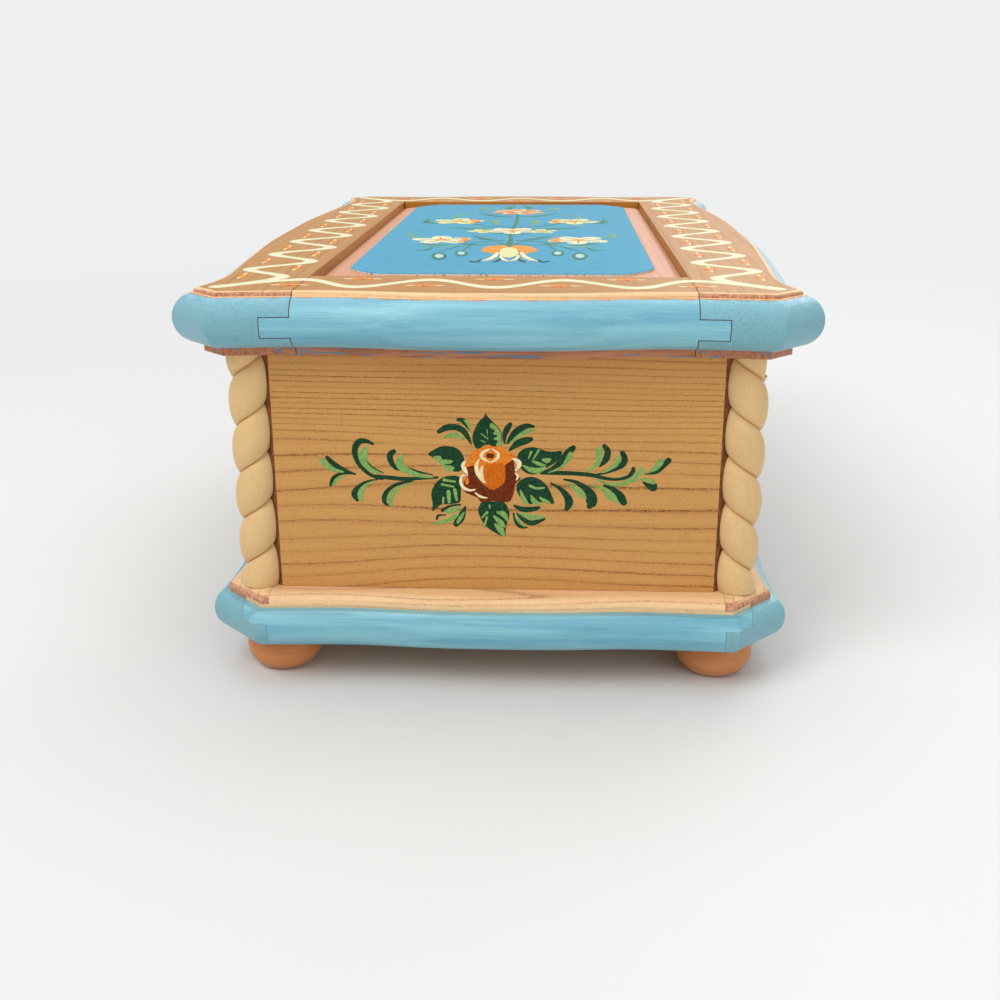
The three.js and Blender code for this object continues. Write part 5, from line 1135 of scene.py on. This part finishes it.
# ---------------------------------------------------------------- velvet pads
def velvet_pad(label, face, sign):
    """A thin pad glued to a wall: its edges are rolled over and its face is a little fuller in the middle."""
    low, high = (tuple(value / MM for value in corner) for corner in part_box(label))
    across = [axis for axis in range(3) if axis != face]
    spans = [high[axis] - low[axis] for axis in across]
    back, thick = (low[face] if sign > 0 else high[face]), high[face] - low[face]
    crown, roll, roll_steps, edge_low = 1.1, 3.4, 5, 0.9
    draw = random.Random(label)
    waves = [(draw.uniform(0.03, 0.09), draw.uniform(0.03, 0.09), draw.uniform(0, 6.3)) for _ in range(5)]

    def stops(span):
        count = max(8, round(span / roll))
        inner = [roll + (span - 2 * roll) * i / count for i in range(count + 1)]
        rolled = [roll * (1 - math.cos(math.pi / 2 * i / roll_steps)) for i in range(roll_steps)]
        return rolled + inner + [span - value for value in rolled[::-1]]

    def height(a, b):
        near = min(a, b, spans[0] - a, spans[1] - b)
        rolled = math.sqrt(max(0.0, 1 - (1 - min(near, roll) / roll) ** 2))
        full = math.sin(math.pi * a / spans[0]) * math.sin(math.pi * b / spans[1])
        ripple = sum(math.sin(u * a + v * b + w) for u, v, w in waves) / len(waves)
        puff = (thick - crown) + crown * min(1.0, full * 1.6) * 0.75 + 0.25 * crown * (0.5 + 0.5 * ripple)
        return edge_low + (puff - edge_low) * rolled

    def put(a, b, h):
        point = [0.0, 0.0, 0.0]
        point[across[0]], point[across[1]] = low[across[0]] + a, low[across[1]] + b
        point[face] = back + sign * h
        return tuple(point)

    first, second = stops(spans[0]), stops(spans[1])
    rows, columns = len(first), len(second)
    points = [put(a, b, height(a, b)) for a in first for b in second]
    points += [put(a, b, 0.0) for a in first for b in second]
    faces, total = [], rows * columns
    for i in range(rows - 1):
        for j in range(columns - 1):
            a = i * columns + j
            faces.append((a, a + 1, a + columns + 1, a + columns))
            faces.append((total + a, total + a + columns, total + a + columns + 1, total + a + 1))
    rim = list(range(columns)) + [i * columns + columns - 1 for i in range(1, rows)]
    rim += [(rows - 1) * columns + j for j in range(columns - 2, -1, -1)]
    rim += [i * columns for i in range(rows - 2, 0, -1)]
    for here, there in zip(rim, rim[1:] + rim[:1]):
        faces.append((there, here, total + here, total + there))
    pad = mesh_object(f"{label}_velvet", points, faces, [red_velvet], smooth=70)
    turn_outward(pad)
    dress(pad, "case", [label])


for label, face, sign in (
    ("floor_lining", 2, 1), ("front_lining", 1, 1), ("back_lining", 1, -1),
    ("partition_lining", 0, 1), ("right_lining", 0, -1),
):
    velvet_pad(label, face, sign)


# ---------------------------------------------------------------- screws and the click's spring
def screw(name, place, up, radius, body, material, turn):
    """A slotted head, raised a little, on the surface at that place; up is 1 or -1."""
    profile = [(0, -0.4), (radius, -0.4), (radius, 0.12), (radius * 0.86, 0.34), (radius * 0.5, 0.5), (0, 0.55)]
    head = lathe(name, profile, 32, (0, 0, 0), material)
    slot = box_object("slot", -radius * 1.2, radius * 1.2, -radius * 0.14, radius * 0.14, 0.12, 2)
    slot.data.transform(Matrix.Rotation(turn, 4, "Z"))
    carve(head, slot, "DIFFERENCE")
    tilt = Vector((0, 0, 1)).rotation_difference(Vector((0, 0, up))).to_matrix().to_4x4()
    head.data.transform(Matrix.Translation(Vector(place) * MM) @ tilt)
    soften(head, 30)
    dress(head, body)


def fit_screws():
    sunk, hinge_row, hinge_pitch = 0.43, 75.2, 10.5
    comb_row, comb_first, comb_pitch = -33.6, 6, 9.2
    up, down = 1, -1
    for side in ("left", "right"):
        low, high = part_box(f"hinge_wall_leaf_{side}")
        middle = (low.x + high.x) / 2 / MM
        for k in (-1, 0, 1):
            place = (middle + k * hinge_pitch, hinge_row, WALL_TOP - sunk)
            screw(f"hinge_{side}_wall_screw_{k + 2}", place, up, 1.5, "case", brass_screw, 0.5 + k)
            place = (middle + k * hinge_pitch, hinge_row, LID_BOTTOM + sunk)
            screw(f"hinge_{side}_lid_screw_{k + 2}", place, down, 1.5, "lid", brass_screw, 0.9 - k)
    low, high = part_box("comb")
    for k in range(4):
        place = (low.x / MM + comb_first + k * comb_pitch, comb_row, high.z / MM)
        screw(f"comb_screw_{k + 1}", place, up, 1.7, "case", steel, 0.3 + k)
    low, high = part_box("bedplate")
    for k, (x, y) in enumerate(((-122.5, -36.5), (-122.5, 32.5), (-35.5, -36.5), (-35.5, 10.0))):
        screw(f"bedplate_screw_{k + 1}", (x, y, high.z / MM), up, 1.9, "case", steel, 0.9 * k)


def click_spring():
    """The bent wire that holds the click against the ratchet."""
    steps, wire, sides = 24, 0.22, 8
    low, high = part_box("click")
    z = (low.z + high.z) / 2 / MM
    run = spline([(-98.4, 9.6, z), (-101.5, 9.9, z), (-104.6, 9.0, z), (-106.6, 7.9, z)], steps)
    points = []
    for i, place in enumerate(run):
        along = run[min(i + 1, steps)] - run[max(i - 1, 0)]
        along /= np.linalg.norm(along)
        side = np.array((-along[1], along[0], 0))
        for j in range(sides):
            angle = 2 * math.pi * j / sides
            points.append(tuple(place + side * wire * math.cos(angle) + np.array((0, 0, wire * math.sin(angle)))))
    dress(mesh_object("click_spring_wire", points, tube(steps + 1, sides), [steel], smooth=60), "case")


fit_screws()
click_spring()

# ---------------------------------------------------------------- stage and light
BACKDROP = (0.86, 0.865, 0.87, 1)


def backdrop(kit, lit, glow, output, share=None):
    """Shows the glow instead of the lit shader to the camera, in reflections and through glass."""
    path = kit.add("ShaderNodeLightPath", {}).outputs
    seen = path["Is Camera Ray"]
    for kind in ("Is Glossy Ray", "Is Transmission Ray"):
        seen = kit.math("MAXIMUM", seen, path[kind])
    if share:
        seen = kit.times(share, seen)
    mixed = kit.add("ShaderNodeMixShader", {0: seen, 1: lit.outputs[0], 2: glow.outputs[0]})
    kit.add(output, {0: mixed.outputs[0]})


def stage():
    """A pale floor that fades into an even backdrop away from the box."""
    size, near, far = 12.0, 0.26, 0.95
    floor_mesh = bpy.data.meshes.new("floor")
    corners = [(-size, -size, 0), (size, -size, 0), (size, size, 0), (-size, size, 0)]
    floor_mesh.from_pydata(corners, [], [(0, 1, 2, 3)])
    floor = bpy.data.objects.new("floor", floor_mesh)
    scene.collection.objects.link(floor)
    material = bpy.data.materials.new("floor")
    floor_mesh.materials.append(material)
    kit = Nodes(material)
    lit = kit.add("ShaderNodeBsdfPrincipled", {"Base Color": (0.74, 0.74, 0.735, 1), "Roughness": 0.75})
    glow = kit.add("ShaderNodeEmission", {"Color": BACKDROP, "Strength": 1.0})
    place = kit.add("ShaderNodeTexCoord", {}).outputs["Object"]
    away = kit.add("ShaderNodeVectorMath", {0: place}, operation="LENGTH").outputs["Value"]
    backdrop(kit, lit, glow, "ShaderNodeOutputMaterial", kit.step(away, near, far))

    scene.world = bpy.data.worlds.new("world")
    kit = Nodes(scene.world)
    lit = kit.add("ShaderNodeBackground", {"Color": (0.96, 0.98, 1.0, 1), "Strength": 0.38})
    glow = kit.add("ShaderNodeBackground", {"Color": BACKDROP, "Strength": 1.0})
    backdrop(kit, lit, glow, "ShaderNodeOutputWorld")


def lamp(name, place, target, size, energy, colour=(1, 1, 1)):
    data = bpy.data.lights.new(name, "AREA")
    data.shape = "RECTANGLE"
    data.size, data.size_y = size
    data.energy = energy
    data.color = colour
    light = bpy.data.objects.new(name, data)
    light.location = place
    light.rotation_euler = (Vector(target) - Vector(place)).to_track_quat("-Z", "Y").to_euler()
    scene.collection.objects.link(light)


stage()
lamp("key", (0.9, -0.75, 1.25), (0.05, 0, 0.06), (0.9, 0.9), 14.0, (1.0, 0.985, 0.96))
lamp("fill", (1.2, 0.9, 0.6), (0.1, 0, 0.06), (1.0, 1.0), 5.0, (0.96, 0.98, 1.0))
lamp("top", (-0.2, 0.1, 1.5), (0, 0, 0.1), (1.4, 1.4), 11.0)
lamp("back", (-1.3, 0.6, 0.9), (0, 0, 0.08), (1.0, 0.8), 6.0)

scene.view_settings.view_transform = "Standard"
